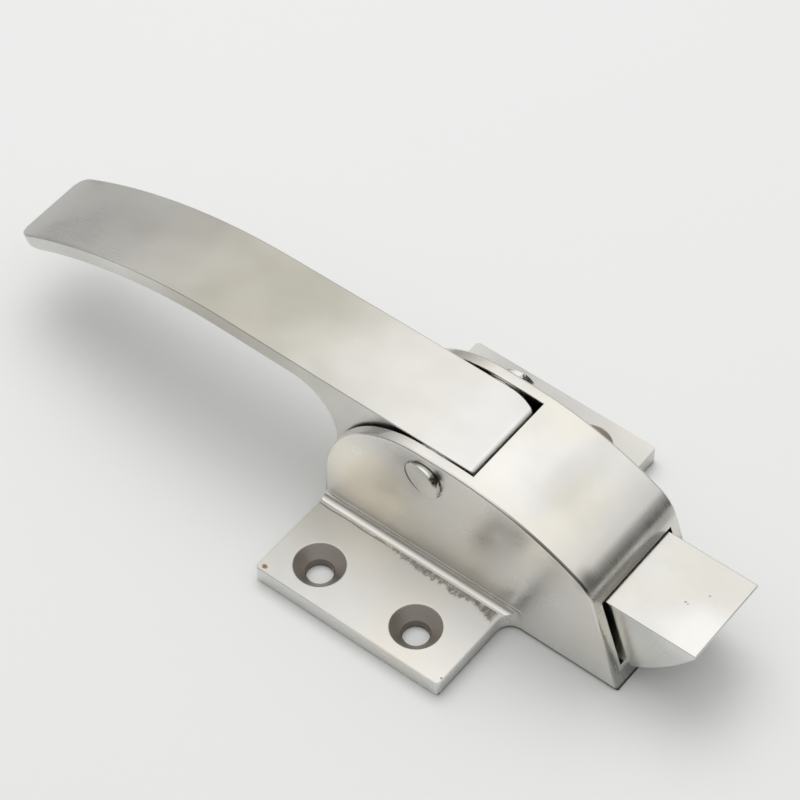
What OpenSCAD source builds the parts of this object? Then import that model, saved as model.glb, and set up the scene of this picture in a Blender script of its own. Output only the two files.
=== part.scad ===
// Freezer door latch: a cast housing with two side flanges, a lever handle on a cross pin,
// and a sprung bolt that the handle draws back. Millimetres. The origin is the middle of the
// four mounting holes on the mounting face, +X is the way the bolt points, +Z leaves the door.

/* [Mounting flanges] */
// Length of the flanges along the latch
flange_l = 53; // [50:0.5:58]
// Width across both flanges
flange_w = 85; // [82:0.5:96]
// Thickness of the flanges
flange_t = 5; // [4:0.25:7]
// Radius of the flange corners seen from above
flange_corner_r = 1; // [0.75:0.25:4]
// How far the hole pattern sits behind the middle of the flanges
hole_shift = 1; // [0:0.25:2]
// Spacing of the mounting holes along the latch
hole_pitch_x = 28; // [24:0.5:32]
// Spacing of the mounting holes across the latch
hole_pitch_y = 66; // [62:0.5:68]
// Diameter of the mounting holes, clearance for M6
hole_d = 6.6; // [5.5:0.1:7]
// Diameter of the countersinks at the flange top
csk_d = 12.6; // [10:0.2:13.6]
// Radius of the fillet at the foot of the housing
foot_r = 2; // [1:0.25:3]
// Radius of the fillet where a flange end runs into the housing side
end_fillet_r = 4; // [2:0.5:6]

/* [Housing] */
// Length of the housing from its rear face to its front toe
body_l = 84; // [82:0.5:88]
// Thickness of each cheek at the foot
cheek_t = 3.5; // [3:0.25:5]
// How much each cheek leans in from the foot to the top
cheek_draft = 0.5; // [0.2:0.1:0.8]
// Radius of the rear shoulder
shoulder_r = 26; // [18:0.5:26]
// Where the front slope leaves the flat crown, from the rear face
crown_l = 33.5; // [30:0.5:38]
// Radius of the long front slope
slope_r = 76; // [72:1:90]
// Lean of the front face from upright, in degrees
face_lean = 18.5; // [14:0.5:20]
// Radius of the brow between the slope and the front face
brow_r = 10; // [5:0.5:11]
// Thickness of the roof over the front chamber
roof_t = 4; // [3:0.25:5]
// Thickness of the rear wall under the handle
rear_wall_t = 4; // [3:0.25:4.5]
// Thickness of the inner web that carries the stem
web_t = 7; // [6.5:0.25:8]
// Length of the sill under the bolt, from the front toe
sill_l = 12.5; // [11:0.5:14]
// Height of the sill under the bolt
sill_h = 5.2; // [4.5:0.1:6]

/* [Pivot] */
// Height of the housing above the pivot axis
pivot_drop = 7.4; // [7:0.1:9]
// Pivot axis ahead of the middle of the mounting holes
pivot_x = 2.8; // [1.5:0.1:4]
// Diameter of the pivot pin
pin_d = 8; // [6:0.5:8]
// Diameter of the pin heads
pin_head_d = 10; // [9.5:0.25:10.5]
// Height of the near pin head above the cheek
near_head_h = 1.2; // [0.8:0.1:2]
// Height of the far, riveted pin head above the cheek
far_head_h = 3.4; // [2:0.1:4]
// Depth of the spot faces under the pin heads
spot_t = 0.5; // [0.4:0.05:0.7]
// Wall of the pivot bushes
bush_wall = 1; // [0.75:0.05:1.2]
// Length of each pivot bush
bush_l = 10; // [6:0.5:11]
// Diameter of the washers beside the hub
washer_d = 13; // [11:0.5:13]
// Thickness of the washers beside the hub
washer_t = 0.5; // [0.4:0.05:0.8]

/* [Handle] */
// Width of the handle at the hub
handle_w = 24.8; // [24:0.2:27]
// Width of the handle at its tail
tail_w = 23.6; // [21:0.2:24]
// Reach of the tail behind the mounting hole middle
tail_reach = 124.4; // [114:0.5:128]
// Where the blade starts to bend down, behind the mounting hole middle
bend_start = 59.6; // [55:0.5:64]
// Radius of the bent blade, top face
blade_r = 125; // [115:1:160]
// Thickness of the blade
blade_t = 4.5; // [4:0.1:5]
// Rounding under the tail
tail_round_r = 6; // [5.5:0.25:9]
// Radius of the tail corners seen from above
tail_corner_r = 3; // [1:0.25:5]
// Depth of the handle top below the housing crown
handle_sink = 0.4; // [0.2:0.1:1]
// Fillet between blade and hub
hub_fillet_r = 13; // [9:0.5:13]
// Reach of the nose's top edge ahead of the pivot
nose_reach = 10.4; // [10:0.1:11]
// Depth of the nose below the pivot axis
nose_depth = 5; // [4:0.25:5.5]
// How far the far nose corner is ground away
nose_relief = 2; // [0.5:0.1:2.5]
// Length over which the far nose corner is ground away
nose_relief_l = 8; // [6:0.25:9]
// Length of the heel that rests on the rear wall
heel_l = 16; // [12:0.5:17]
// Lift of the handle, in degrees
lift_angle = 40; // [32:1:42]

/* [Drive] */
// Height of the pivot axis above the stem axis, the arm of the prongs
drive_arm = 19.3; // [18.6:0.1:21]
// Radius of the prong tips
prong_tip_r = 3; // [2.5:0.1:3.2]
// Width of each prong across the latch
prong_w = 5.6; // [4.5:0.1:6]
// Width of the prong bars behind their axis
prong_back = 0.7; // [0.4:0.1:0.9]
// Width of the prong bars ahead of their axis
prong_front = 4; // [3:0.1:4.5]
// Diameter of the stem
stem_d = 8; // [6:0.5:8]
// Diameter of the drive collar
collar_d = 16; // [15:0.25:16.5]
// Thickness of the drive collar
collar_t = 3; // [2.5:0.25:3.5]
// Width of the stem nuts across their flats
nut_af = 13; // [12.5:0.1:13.2]
// Thickness of each stem nut
nut_t = 4; // [3.5:0.25:4.25]
// Length of stem behind the lock nut
stem_tail = 1.5; // [1:0.1:1.8]
// Depth of the stem in the bolt
stem_grip = 11; // [8:0.5:13]
// Diameter of the grub screw that locks the stem
grub_d = 4; // [3:0.5:5]
// Place of the grub screw ahead of the spring bore
grub_ahead = 3.4; // [3:0.1:5]
// Depth of the grub screw below the bolt's underside
grub_sink = 0.4; // [0.2:0.1:1]

/* [Bolt] */
// Height of the bolt
bolt_h = 17.8; // [17.4:0.1:18.6]
// Reach of the bolt tip ahead of the housing toe
tip_ahead = 16.2; // [14:0.2:19]
// Height of the blunt land at the bolt tip
tip_land = 0.8; // [0.5:0.1:1.5]
// Where the ramp leaves the underside, behind the tip
ramp_l = 15.4; // [14:0.2:16]
// Radius of the ramp
ramp_r = 58; // [54:1:75]
// Depth of the spring bore in the bolt
spring_bore_l = 14; // [12:0.5:15]

/* [Spring] */
// Outside diameter of the spring
spring_od = 11.8; // [11.4:0.1:12]
// Diameter of the spring wire
wire_d = 1.4; // [1.1:0.1:1.4]
// Number of coils
coils = 8; // [6:1:9]
// Flange diameter of the stem bush, the seat of the spring
seat_d = 12.6; // [12:0.1:12.8]
// Flange thickness of the stem bush
seat_t = 1; // [0.8:0.1:1.4]

/* [Base cover] */
// Thickness of the base cover
cover_t = 2; // [1.9:0.1:2.5]
// Width of the ledge that the cover rests on
cover_ledge = 1.6; // [1.2:0.1:1.8]
// Diameter of the cover screws
screw_d = 4; // [3:0.25:4]
// Head diameter of the cover screws
screw_head_d = 7.4; // [6.6:0.1:7.6]
// Length of the cover screws
screw_l = 9; // [7:0.5:11]
// Distance of the front cover screws from the slot side
front_inset = 3.5; // [3:0.1:4.5]
// Distance of the rear cover screws from the slot side
rear_inset = 2.4; // [2.2:0.1:2.6]

/* [Fits] */
// Radial clearance of running fits
run_fit = 0.04; // [0.02:0.01:0.08]
// Radial clearance of seated pieces
seat_fit = 0.02; // [0.01:0.01:0.05]
// Clearance of each hub washer from its cheek
side_play = 0.1; // [0.08:0.01:0.2]
// Clearance between the prongs and the collar
drive_gap = 0.3; // [0.2:0.05:0.5]
// How much wider than the slot the window is at each side
window_extra = 0.2; // [0:0.05:0.4]
// Clearance of the bolt at each side of its window
bolt_side_gap = 0.9; // [0.6:0.05:1.2]
// Clearance of the bolt above the sill
bolt_floor_gap = 0.2; // [0.15:0.05:0.4]
// Clearance of the window above the bolt
bolt_roof_gap = 0.8; // [0.4:0.1:1.2]
// Clearance between the nose and the hollow slot end
nose_gap = 1; // [0.8:0.1:1.6]
// Clearance of the hub over the drive collar
hub_gap = 1.7; // [1:0.1:2]
// Clearance of the heel over the rear wall
heel_gap = 0.4; // [0.3:0.05:0.8]
// Clearance around the base cover and below it
cover_gap = 0.2; // [0.15:0.05:0.3]
// Free travel left at the end of a stroke
stroke_gap = 0.6; // [0.4:0.1:0.8]

/* [Hidden] */
$fn = 128;
over = 1;
rear_x = -flange_l / 2 + hole_shift;
front_x = rear_x + flange_l;
toe_x = rear_x + body_l;
slot_w = handle_w + 2 * (washer_t + side_play);
body_w = slot_w + 2 * cheek_t;

window_w = slot_w + 2 * window_extra;
bolt_w = window_w - 2 * bolt_side_gap;
bolt_bottom = sill_h + bolt_floor_gap;
bolt_top = bolt_bottom + bolt_h;
stem_z = bolt_bottom + bolt_h / 2;

tip_reach = toe_x + tip_ahead;
pivot_z = stem_z + drive_arm;
body_h = pivot_z + pivot_drop;
hub_r = drive_arm - collar_d / 2 - hub_gap;
cheek_y = body_w / 2 - cheek_draft * pivot_z / body_h;
head_seat_y = cheek_y - spot_t;

lean_half = lift_angle / 2;
prong_reach = 2 * drive_arm / (1 + cos(lean_half));
stroke = 2 * prong_reach * sin(lean_half);
prong_in = stem_d / 2 + over;
collar_front = pivot_x + prong_reach * sin(lean_half) - prong_tip_r - drive_gap;
collar_rear = collar_front - collar_t;
lock_nut_rear = collar_rear - 2 * nut_t;
stem_rear = lock_nut_rear - stem_tail;

nose_swing_r = norm([nose_reach, pivot_drop - handle_sink]);
slot_end = pivot_x + sqrt(pow(nose_swing_r + nose_gap, 2) - pivot_drop * pivot_drop);
web_front = slot_end + web_t;
seat_front = web_front + seat_t;
block_rear = seat_front + stroke + stroke_gap;
bore_end = block_rear + spring_bore_l;
spring_bore_d = spring_od + 4 * stroke_gap;
grub_x = bore_end + grub_ahead;
grub_l = bolt_h / 2 - stem_d / 2 - grub_sink - run_fit;
chamber_end = toe_x - sill_l;

crown_x = rear_x + crown_l;
slope_c = [crown_x, body_h - slope_r];
face_n = [cos(face_lean), sin(face_lean)];
face_u = [-sin(face_lean), cos(face_lean)];
brow_from = [toe_x, 0] - brow_r * face_n - slope_c;
brow_dot = brow_from * face_u;
brow_root = brow_dot * brow_dot - brow_from * brow_from + pow(slope_r - brow_r, 2);
brow_c = slope_c + brow_from + (sqrt(brow_root) - brow_dot) * face_u;
slope_n = (brow_c - slope_c) / (slope_r - brow_r);

handle_top = body_h - handle_sink;
blade_low = handle_top - blade_t;
bend_c = [-bend_start, handle_top - blade_r];
tail_angle = asin((tail_reach - bend_start) / blade_r);
tail_gap = tail_round_r - blade_t;
tail_half = sqrt(tail_round_r * tail_round_r - tail_gap * tail_gap);
tail_mid_angle = tail_angle - asin(tail_half / blade_r);
hub_rear = rear_x + cover_gap;
wall_top = blade_low - hub_fillet_r - rear_wall_t + cover_gap;
heel_z = wall_top + heel_gap;
hub_core_y = handle_w / 2 - cheek_t - over;

cover_z = cover_gap;
ledge_z = cover_z + cover_t;
cover_w = slot_w + 2 * cover_ledge;
cover_rear = rear_x + rear_wall_t / 2;
cover_front = chamber_end + rear_wall_t - over;
boss_r = screw_d / 2 + 1.4;
screw_y_front = slot_w / 2 - front_inset;
screw_y_rear = slot_w / 2 - rear_inset;
screw_x_front = slot_end + web_t / 2;
screw_x_rear = rear_x + rear_wall_t + boss_r - cover_gap;
hole_top = ledge_z + screw_l;

// A direction in the side view, by its angle behind upright
function behind(a) = [-sin(a), cos(a)];

// Stands a side view up in the middle plane and gives it a width
module across(width) {
  rotate([90, 0, 0])
    linear_extrude(height = width, center = true)
      children();
}

// Lays a round piece along X from the given point
module along(x, y, z) {
  translate([x, y, z])
    rotate([0, 90, 0])
      children();
}

// Lays a round piece along Y through the pivot
module on_pivot(y) {
  translate([pivot_x, y, pivot_z])
    rotate([-90, 0, 0])
      children();
}

// Side view of the closed housing
module body_side() {
  difference() {
    polygon([
      [rear_x, 0],
      [toe_x, 0],
      [toe_x - body_h * tan(face_lean), body_h],
      [rear_x, body_h]
    ]);
    difference() {
      translate([rear_x - over, body_h - shoulder_r])
        square([shoulder_r + over, shoulder_r + over]);
      translate([rear_x + shoulder_r, body_h - shoulder_r])
        circle(r = shoulder_r);
    }
    difference() {
      translate([crown_x, 0])
        square([body_l, body_h + over]);
      translate(slope_c)
        circle(r = slope_r);
      translate([crown_x - over, -over])
        square([body_l, 2 * sill_h]);
      polygon([
        brow_c,
        brow_c + 3 * brow_r * face_n,
        [toe_x + body_l, 0],
        [crown_x, 0]
      ]);
    }
    difference() {
      polygon([
        brow_c,
        brow_c + 2 * brow_r * face_n,
        brow_c + 3 * brow_r * (face_n + slope_n) / 2,
        brow_c + 2 * brow_r * slope_n
      ]);
      translate(brow_c)
        circle(r = brow_r);
    }
  }
}

// The solid hump, its cheeks leaning in a little
module body_hump() {
  intersection() {
    across(body_w + 2 * over) body_side();
    translate([rear_x - over, 0, 0])
      rotate([90, 0, 90])
        linear_extrude(height = body_l + 2 * over)
          polygon([
            [-body_w / 2, 0],
            [body_w / 2, 0],
            [body_w / 2 - cheek_draft, body_h],
            [-body_w / 2 + cheek_draft, body_h]
          ]);
  }
}

// Plan of both flanges with their rounded corners and end fillets
module flange_plan() {
  difference() {
    translate([rear_x, -flange_w / 2])
      square([flange_l, flange_w]);
    for (side = [-1, 1]) {
      flange_corner(rear_x, -1, side);
      flange_corner(front_x, 1, side);
    }
  }
  for (side = [-1, 1]) {
    mirror([0, side < 0 ? 1 : 0])
      difference() {
        translate([front_x - over, body_w / 2 - over])
          square(end_fillet_r + over);
        translate([front_x + end_fillet_r, body_w / 2 + end_fillet_r])
          circle(r = end_fillet_r);
      }
  }
}

// What is cut from one flange corner to round it
module flange_corner(x, end, side) {
  r = flange_corner_r;
  c = [x - end * r, side * (flange_w / 2 - r)];
  difference() {
    translate(c + [end > 0 ? 0 : -r - over, side > 0 ? 0 : -r - over])
      square(r + over);
    translate(c)
      circle(r = r);
  }
}

// One mounting hole with its countersink
module mounting_hole() {
  translate([0, 0, -over])
    cylinder(d = hole_d, h = flange_t + 2 * over);
  depth = (csk_d - hole_d) / 2;
  translate([0, 0, flange_t - depth])
    cylinder(d1 = hole_d, d2 = csk_d, h = depth);
  translate([0, 0, flange_t])
    cylinder(d = csk_d, h = 2 * over);
}

// Fillet along the foot of one cheek, running out with the end fillet
module foot_fillet() {
  intersection() {
    translate([rear_x, 0, 0])
      rotate([90, 0, 90])
        linear_extrude(height = flange_l + end_fillet_r)
          difference() {
            translate([body_w / 2 - over, flange_t - over])
              square(foot_r + over);
            translate([body_w / 2 + foot_r, flange_t + foot_r])
              circle(r = foot_r);
          }
    linear_extrude(height = flange_t + 2 * foot_r)
      flange_plan();
  }
}

// Hollow ahead of the web, under the roof
module front_chamber() {
  across(slot_w)
    intersection() {
      translate([web_front, -over])
        square([chamber_end - web_front, body_h]);
      translate(slope_c)
        circle(r = slope_r - roof_t);
    }
}

// Boss that takes one rear cover screw, grown onto cheek and rear wall
module rear_boss() {
  x0 = rear_x + rear_wall_t / 2;
  translate([screw_x_rear, screw_y_rear, ledge_z])
    cylinder(r = boss_r, h = screw_l + over);
  translate([x0, screw_y_rear, ledge_z])
    cube([screw_x_rear - x0, boss_r, screw_l + over]);
  translate([x0, screw_y_rear, ledge_z])
    cube([screw_x_rear + boss_r - x0, slot_w / 2 + over - screw_y_rear, screw_l + over]);
}

// The four places of the cover screws
module at_cover_screw(i) {
  x = i < 2 ? screw_x_front : screw_x_rear;
  y = i < 2 ? screw_y_front : screw_y_rear;
  translate([x, (i % 2 == 0 ? -1 : 1) * y, 0])
    children();
}

module housing() {
  color([0.78, 0.77, 0.74])
    difference() {
      union() {
        difference() {
          union() {
            body_hump();
            linear_extrude(height = flange_t) flange_plan();
            foot_fillet();
            mirror([0, 1, 0]) foot_fillet();
          }
          translate([rear_x - over, -slot_w / 2, wall_top])
            cube([slot_end - rear_x + over, slot_w, body_h]);
          translate([rear_x + rear_wall_t, -slot_w / 2, -over])
            cube([slot_end - rear_x - rear_wall_t, slot_w, body_h + 2 * over]);
          front_chamber();
          across(slot_w)
            translate([pivot_x, pivot_z])
              circle(r = nose_swing_r + nose_gap);
        }
        rear_boss();
        mirror([0, 1, 0]) rear_boss();
      }
      translate([chamber_end - over, -window_w / 2, sill_h])
        cube([sill_l + 2 * over, window_w, bolt_h + bolt_floor_gap + bolt_roof_gap]);
      translate([0, 0, -over])
        linear_extrude(height = ledge_z + over)
          cover_plan(cover_gap);
      for (x = [-1, 1])
        for (y = [-1, 1])
          translate([x * hole_pitch_x / 2, y * hole_pitch_y / 2, 0])
            mounting_hole();
      for (i = [0:3])
        at_cover_screw(i)
          translate([0, 0, ledge_z - over])
            cylinder(d = screw_d + 2 * seat_fit, h = screw_l + over);
      on_pivot(-body_w)
        cylinder(d = pin_d + 2 * seat_fit, h = 2 * body_w);
      on_pivot(head_seat_y)
        cylinder(d = pin_head_d + 4 * cover_gap, h = body_w);
      on_pivot(-head_seat_y - body_w)
        cylinder(d = pin_head_d + 4 * cover_gap, h = body_w);
      along(slot_end - over, 0, stem_z)
        cylinder(d = stem_d + 2 * bush_wall + 2 * seat_fit, h = web_t + 2 * over);
    }
}

// Side view of blade and hub
module handle_side() {
  difference() {
    intersection() {
      translate(bend_c)
        difference() {
          circle(r = blade_r, $fn = 360);
          circle(r = blade_r - blade_t, $fn = 360);
        }
      polygon([
        bend_c,
        bend_c + 2 * blade_r * behind(tail_angle + 8),
        bend_c + 2 * blade_r * behind(0)
      ]);
    }
    difference() {
      polygon([
        bend_c,
        bend_c + 1.2 * blade_r * behind(tail_mid_angle),
        bend_c + 1.2 * blade_r * behind(tail_angle + 12)
      ]);
      translate(bend_c + (blade_r - blade_t + tail_round_r) * behind(tail_mid_angle))
        circle(r = tail_round_r);
    }
  }
  translate([-bend_start, blade_low])
    square([bend_start + pivot_x, blade_t]);
  translate([hub_rear, heel_z])
    square([heel_l, handle_top - heel_z - over]);
  translate([hub_rear, pivot_z - hub_r / 2])
    square([pivot_x - hub_rear, handle_top - pivot_z + hub_r / 2 - over]);
  intersection() {
    translate([pivot_x, pivot_z])
      circle(r = hub_r);
    translate([pivot_x - hub_r - over, pivot_z - hub_r - over])
      square([2 * hub_r + 2 * over, hub_r + over]);
  }
  intersection() {
    translate([pivot_x, pivot_z])
      circle(r = nose_swing_r);
    translate([pivot_x - over, pivot_z - nose_depth])
      square([nose_swing_r + 2 * over, nose_depth + handle_top - pivot_z]);
  }
  difference() {
    translate([hub_rear - hub_fillet_r, blade_low - hub_fillet_r])
      square([hub_fillet_r + over, hub_fillet_r + over]);
    translate([hub_rear - hub_fillet_r, blade_low - hub_fillet_r])
      circle(r = hub_fillet_r);
  }
}

// Plan of the handle: tapering, with rounded tail corners
module handle_plan() {
  x0 = -tail_reach - over;
  x1 = pivot_x + nose_swing_r + over;
  r = tail_corner_r;
  difference() {
    polygon([
      [x0, -tail_w / 2],
      [rear_x, -handle_w / 2],
      [x1, -handle_w / 2],
      [x1, handle_w / 2],
      [rear_x, handle_w / 2],
      [x0, tail_w / 2]
    ]);
    for (side = [-1, 1])
      mirror([0, side < 0 ? 1 : 0])
        difference() {
          translate([x0 - over, tail_w / 2 - r])
            square([r + 2 * over, r + over]);
          translate([-tail_reach + r, tail_w / 2 - r])
            circle(r = r);
        }
    nose_corner();
  }
}

// What is ground from the far corner of the nose, seen from above
module nose_corner() {
  x0 = pivot_x + nose_reach - nose_relief_l;
  r = (nose_relief_l * nose_relief_l + nose_relief * nose_relief) / (2 * nose_relief);
  difference() {
    translate([x0, handle_w / 2 - 2 * nose_relief])
      square([nose_relief_l + nose_swing_r - nose_reach + 2 * over, 2 * nose_relief + over]);
    translate([x0, handle_w / 2 - r])
      circle(r = r);
  }
}

// Side view of one prong below the pivot, leaning forward at rest
module prong_side() {
  translate([pivot_x, pivot_z])
    rotate(lean_half) {
      polygon([
        [-prong_back, 0],
        [-prong_back, -prong_reach],
        [prong_tip_r * cos(lean_half), -prong_reach - over],
        [prong_front, -prong_reach + 2 * prong_tip_r],
        [prong_front, 0]
      ]);
      translate([0, -prong_reach])
        circle(r = prong_tip_r);
    }
}

module lever_handle() {
  color([0.8, 0.79, 0.76])
    difference() {
      union() {
        intersection() {
          across(handle_w + 2 * over) handle_side();
          linear_extrude(height = body_h + over) handle_plan();
        }
        for (side = [-1, 1])
          translate([0, side * (prong_in + prong_w / 2), 0])
            across(prong_w) prong_side();
      }
      on_pivot(-handle_w)
        cylinder(d = pin_d + 2 * (run_fit + bush_wall + seat_fit), h = 2 * handle_w);
      translate([hub_rear + rear_wall_t, -hub_core_y, heel_z - over])
        cube([pivot_x - hub_r - over - hub_rear - rear_wall_t, 2 * hub_core_y, blade_low - heel_z]);
    }
}

module pivot_pin() {
  near = head_seat_y + spot_t + near_head_h;
  far = head_seat_y + spot_t + far_head_h;
  r = pin_head_d / 2;
  bevel = near_head_h / 3;
  color([0.72, 0.72, 0.7])
    on_pivot(0)
      rotate_extrude()
        polygon([
          [0, -near],
          [r - bevel, -near],
          [r, -near + bevel],
          [r, -head_seat_y],
          [pin_d / 2, -head_seat_y],
          [pin_d / 2, head_seat_y],
          [r, head_seat_y],
          [r, far - 2 * bevel],
          [r - 2 * bevel, far],
          [0, far]
        ]);
}

// One bush, from the hub side inwards
module pivot_bush() {
  r_in = pin_d / 2 + run_fit;
  difference() {
    cylinder(r = r_in + bush_wall, h = bush_l);
    translate([0, 0, -over])
      cylinder(r = r_in, h = bush_l + 2 * over);
  }
}

module pivot_bush_near() {
  color([0.72, 0.58, 0.3])
    on_pivot(-handle_w / 2)
      pivot_bush();
}

module pivot_bush_far() {
  color([0.72, 0.58, 0.3])
    on_pivot(handle_w / 2 - bush_l)
      pivot_bush();
}

module pivot_washer() {
  difference() {
    cylinder(d = washer_d, h = washer_t);
    translate([0, 0, -over])
      cylinder(d = pin_d + 4 * run_fit, h = washer_t + 2 * over);
  }
}

module pivot_washer_near() {
  color([0.85, 0.84, 0.8])
    on_pivot(-handle_w / 2 - washer_t)
      pivot_washer();
}

module pivot_washer_far() {
  color([0.85, 0.84, 0.8])
    on_pivot(handle_w / 2)
      pivot_washer();
}

// Side view of the bolt: a bar whose underside ramps up to the tip
module bolt_side() {
  tip = [tip_reach, bolt_top - tip_land];
  foot = [tip_reach - ramp_l, bolt_bottom];
  half = norm(tip - foot) / 2;
  dir = (tip - foot) / (2 * half);
  rise = sqrt(ramp_r * ramp_r - half * half);
  intersection() {
    translate([block_rear, bolt_bottom])
      square([tip_reach - block_rear, bolt_h]);
    translate((tip + foot) / 2 + rise * [-dir[1], dir[0]])
      circle(r = ramp_r, $fn = 360);
  }
}

module latch_bolt() {
  color([0.84, 0.83, 0.81])
    difference() {
      across(bolt_w) bolt_side();
      along(block_rear - over, 0, stem_z)
        cylinder(d = spring_bore_d, h = spring_bore_l + over);
      along(bore_end - over, 0, stem_z)
        cylinder(d = stem_d + 2 * seat_fit, h = stem_grip + over);
      translate([grub_x, 0, bolt_bottom - over])
        cylinder(d = grub_d + 2 * seat_fit, h = bolt_h / 2);
    }
}

// Locks the stem from the bolt's underside, with a hexagon socket
module stem_grub_screw() {
  r = grub_d / 2;
  bevel = grub_d / 8;
  color([0.5, 0.5, 0.5])
    translate([grub_x, 0, bolt_bottom + grub_sink])
      difference() {
        rotate_extrude()
          polygon([
            [0, 0],
            [r - bevel, 0],
            [r, bevel],
            [r, grub_l - bevel],
            [r - bevel, grub_l],
            [0, grub_l]
          ]);
        translate([0, 0, -over])
          cylinder(d = grub_d * 0.6, h = over + grub_l / 2, $fn = 6);
      }
}

module bolt_stem() {
  r = stem_d / 2;
  length = bore_end + stem_grip - stem_rear;
  bevel = stem_tail / 2;
  color([0.7, 0.7, 0.69])
    along(stem_rear, 0, stem_z)
      rotate_extrude()
        polygon([
          [0, 0],
          [r - bevel, 0],
          [r, bevel],
          [r, length],
          [0, length]
        ]);
}

module stem_bush() {
  r_in = stem_d / 2 + run_fit;
  color([0.72, 0.58, 0.3])
    along(slot_end, 0, stem_z)
      rotate_extrude()
        polygon([
          [r_in, 0],
          [stem_d / 2 + bush_wall, 0],
          [stem_d / 2 + bush_wall, web_t],
          [seat_d / 2, web_t],
          [seat_d / 2, web_t + seat_t],
          [r_in, web_t + seat_t]
        ]);
}

// Section of the wire in a plane square to the spring axis
module wire_section(pitch) {
  mid = (spring_od - wire_d) / 2;
  half = wire_d / 2;
  spread = 360 * half / pitch;
  steps = 8;
  outer = [for (i = [0:steps])
    let (a = spread * (2 * i / steps - 1), t = 2 * i / steps - 1)
      (mid + half * sqrt(max(0, 1 - t * t))) * [cos(a), sin(a)]];
  inner = [for (i = [1:steps - 1])
    let (j = steps - i, a = spread * (2 * j / steps - 1), t = 2 * j / steps - 1)
      (mid - half * sqrt(max(0, 1 - t * t))) * [cos(a), sin(a)]];
  polygon(concat(outer, inner));
}

module bolt_spring() {
  length = bore_end - seat_front;
  color([0.6, 0.6, 0.6])
    along(seat_front, 0, stem_z)
      linear_extrude(height = length, twist = -360 * coils, slices = 20 * coils, $fn = 16)
        wire_section(length / coils);
}

module drive_collar() {
  r = collar_d / 2;
  bevel = collar_t / 6;
  r_in = stem_d / 2 + seat_fit;
  color([0.66, 0.66, 0.65])
    along(collar_rear, 0, stem_z)
      rotate_extrude()
        polygon([
          [r_in, 0],
          [r - bevel, 0],
          [r, bevel],
          [r, collar_t],
          [r_in, collar_t]
        ]);
}

// Hexagon nut with bevelled corners and its flats at the sides
module hex_nut() {
  r_in = stem_d / 2 + seat_fit;
  r_corner = nut_af / (2 * cos(30));
  bevel = r_corner - nut_af / 2;
  intersection() {
    difference() {
      cylinder(r = r_corner, h = nut_t, $fn = 6);
      translate([0, 0, -over])
        cylinder(r = r_in, h = nut_t + 2 * over);
    }
    rotate_extrude()
      polygon([
        [0, 0],
        [r_corner - bevel, 0],
        [r_corner + bevel, bevel],
        [r_corner + bevel, nut_t - bevel],
        [r_corner - bevel, nut_t],
        [0, nut_t]
      ]);
  }
}

module stem_nut() {
  color([0.7, 0.7, 0.69])
    along(collar_rear - nut_t, 0, stem_z)
      hex_nut();
}

module stem_lock_nut() {
  color([0.7, 0.7, 0.69])
    along(lock_nut_rear, 0, stem_z)
      hex_nut();
}

// Plan of the base cover, grown by a gap for its seat
module cover_plan(grow) {
  translate([cover_rear - grow, -cover_w / 2 - grow])
    square([cover_front - cover_rear + 2 * grow, cover_w + 2 * grow]);
}

module base_cover() {
  head_h = (screw_head_d - screw_d) / 2;
  color([0.7, 0.7, 0.68])
    difference() {
      translate([0, 0, cover_z])
        linear_extrude(height = cover_t)
          cover_plan(0);
      for (i = [0:3])
        at_cover_screw(i) {
          cylinder(d = screw_d + 4 * cover_gap, h = ledge_z + over);
          translate([0, 0, cover_z - over])
            cylinder(d = screw_head_d + 2 * seat_fit, h = over);
          translate([0, 0, cover_z])
            cylinder(d1 = screw_head_d + 2 * seat_fit, d2 = screw_d + 2 * seat_fit, h = head_h);
        }
    }
}

// Countersunk screw with a hexagon socket, head down
module cover_screw(i) {
  r = screw_d / 2;
  head_h = (screw_head_d - screw_d) / 2;
  color([0.62, 0.62, 0.61])
    at_cover_screw(i)
      translate([0, 0, cover_z])
        difference() {
          rotate_extrude()
            polygon([
              [0, 0],
              [screw_head_d / 2, 0],
              [r, head_h],
              [r, screw_l - r / 4],
              [r * 3 / 4, screw_l],
              [0, screw_l]
            ]);
          translate([0, 0, -over])
            cylinder(d = screw_d * 0.72, h = over + head_h * 0.8, $fn = 6);
        }
}

module cover_screw_1() {
  cover_screw(0);
}

module cover_screw_2() {
  cover_screw(1);
}

module cover_screw_3() {
  cover_screw(2);
}

module cover_screw_4() {
  cover_screw(3);
}

housing();
lever_handle();
pivot_pin();
pivot_bush_near();
pivot_bush_far();
pivot_washer_near();
pivot_washer_far();
latch_bolt();
bolt_stem();
stem_grub_screw();
stem_bush();
bolt_spring();
drive_collar();
stem_nut();
stem_lock_nut();
base_cover();
cover_screw_1();
cover_screw_2();
cover_screw_3();
cover_screw_4();
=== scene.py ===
"""Looks of a freezer door latch: cast housing, lever handle, cross pin, sprung bolt, base cover and spring.

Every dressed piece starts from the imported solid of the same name, gets its worn and rounded edges,
and takes a procedural finish. The other solids stay as packed and take finishes too. Sizes are in
millimetres in the fields and metres in the meshes.
"""

from __future__ import annotations

import logging
import math
from dataclasses import dataclass
from enum import Enum
from functools import cached_property
from typing import Any, Iterable, Optional, Union

import bmesh
import bpy
from mathutils import Matrix, Vector

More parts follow.
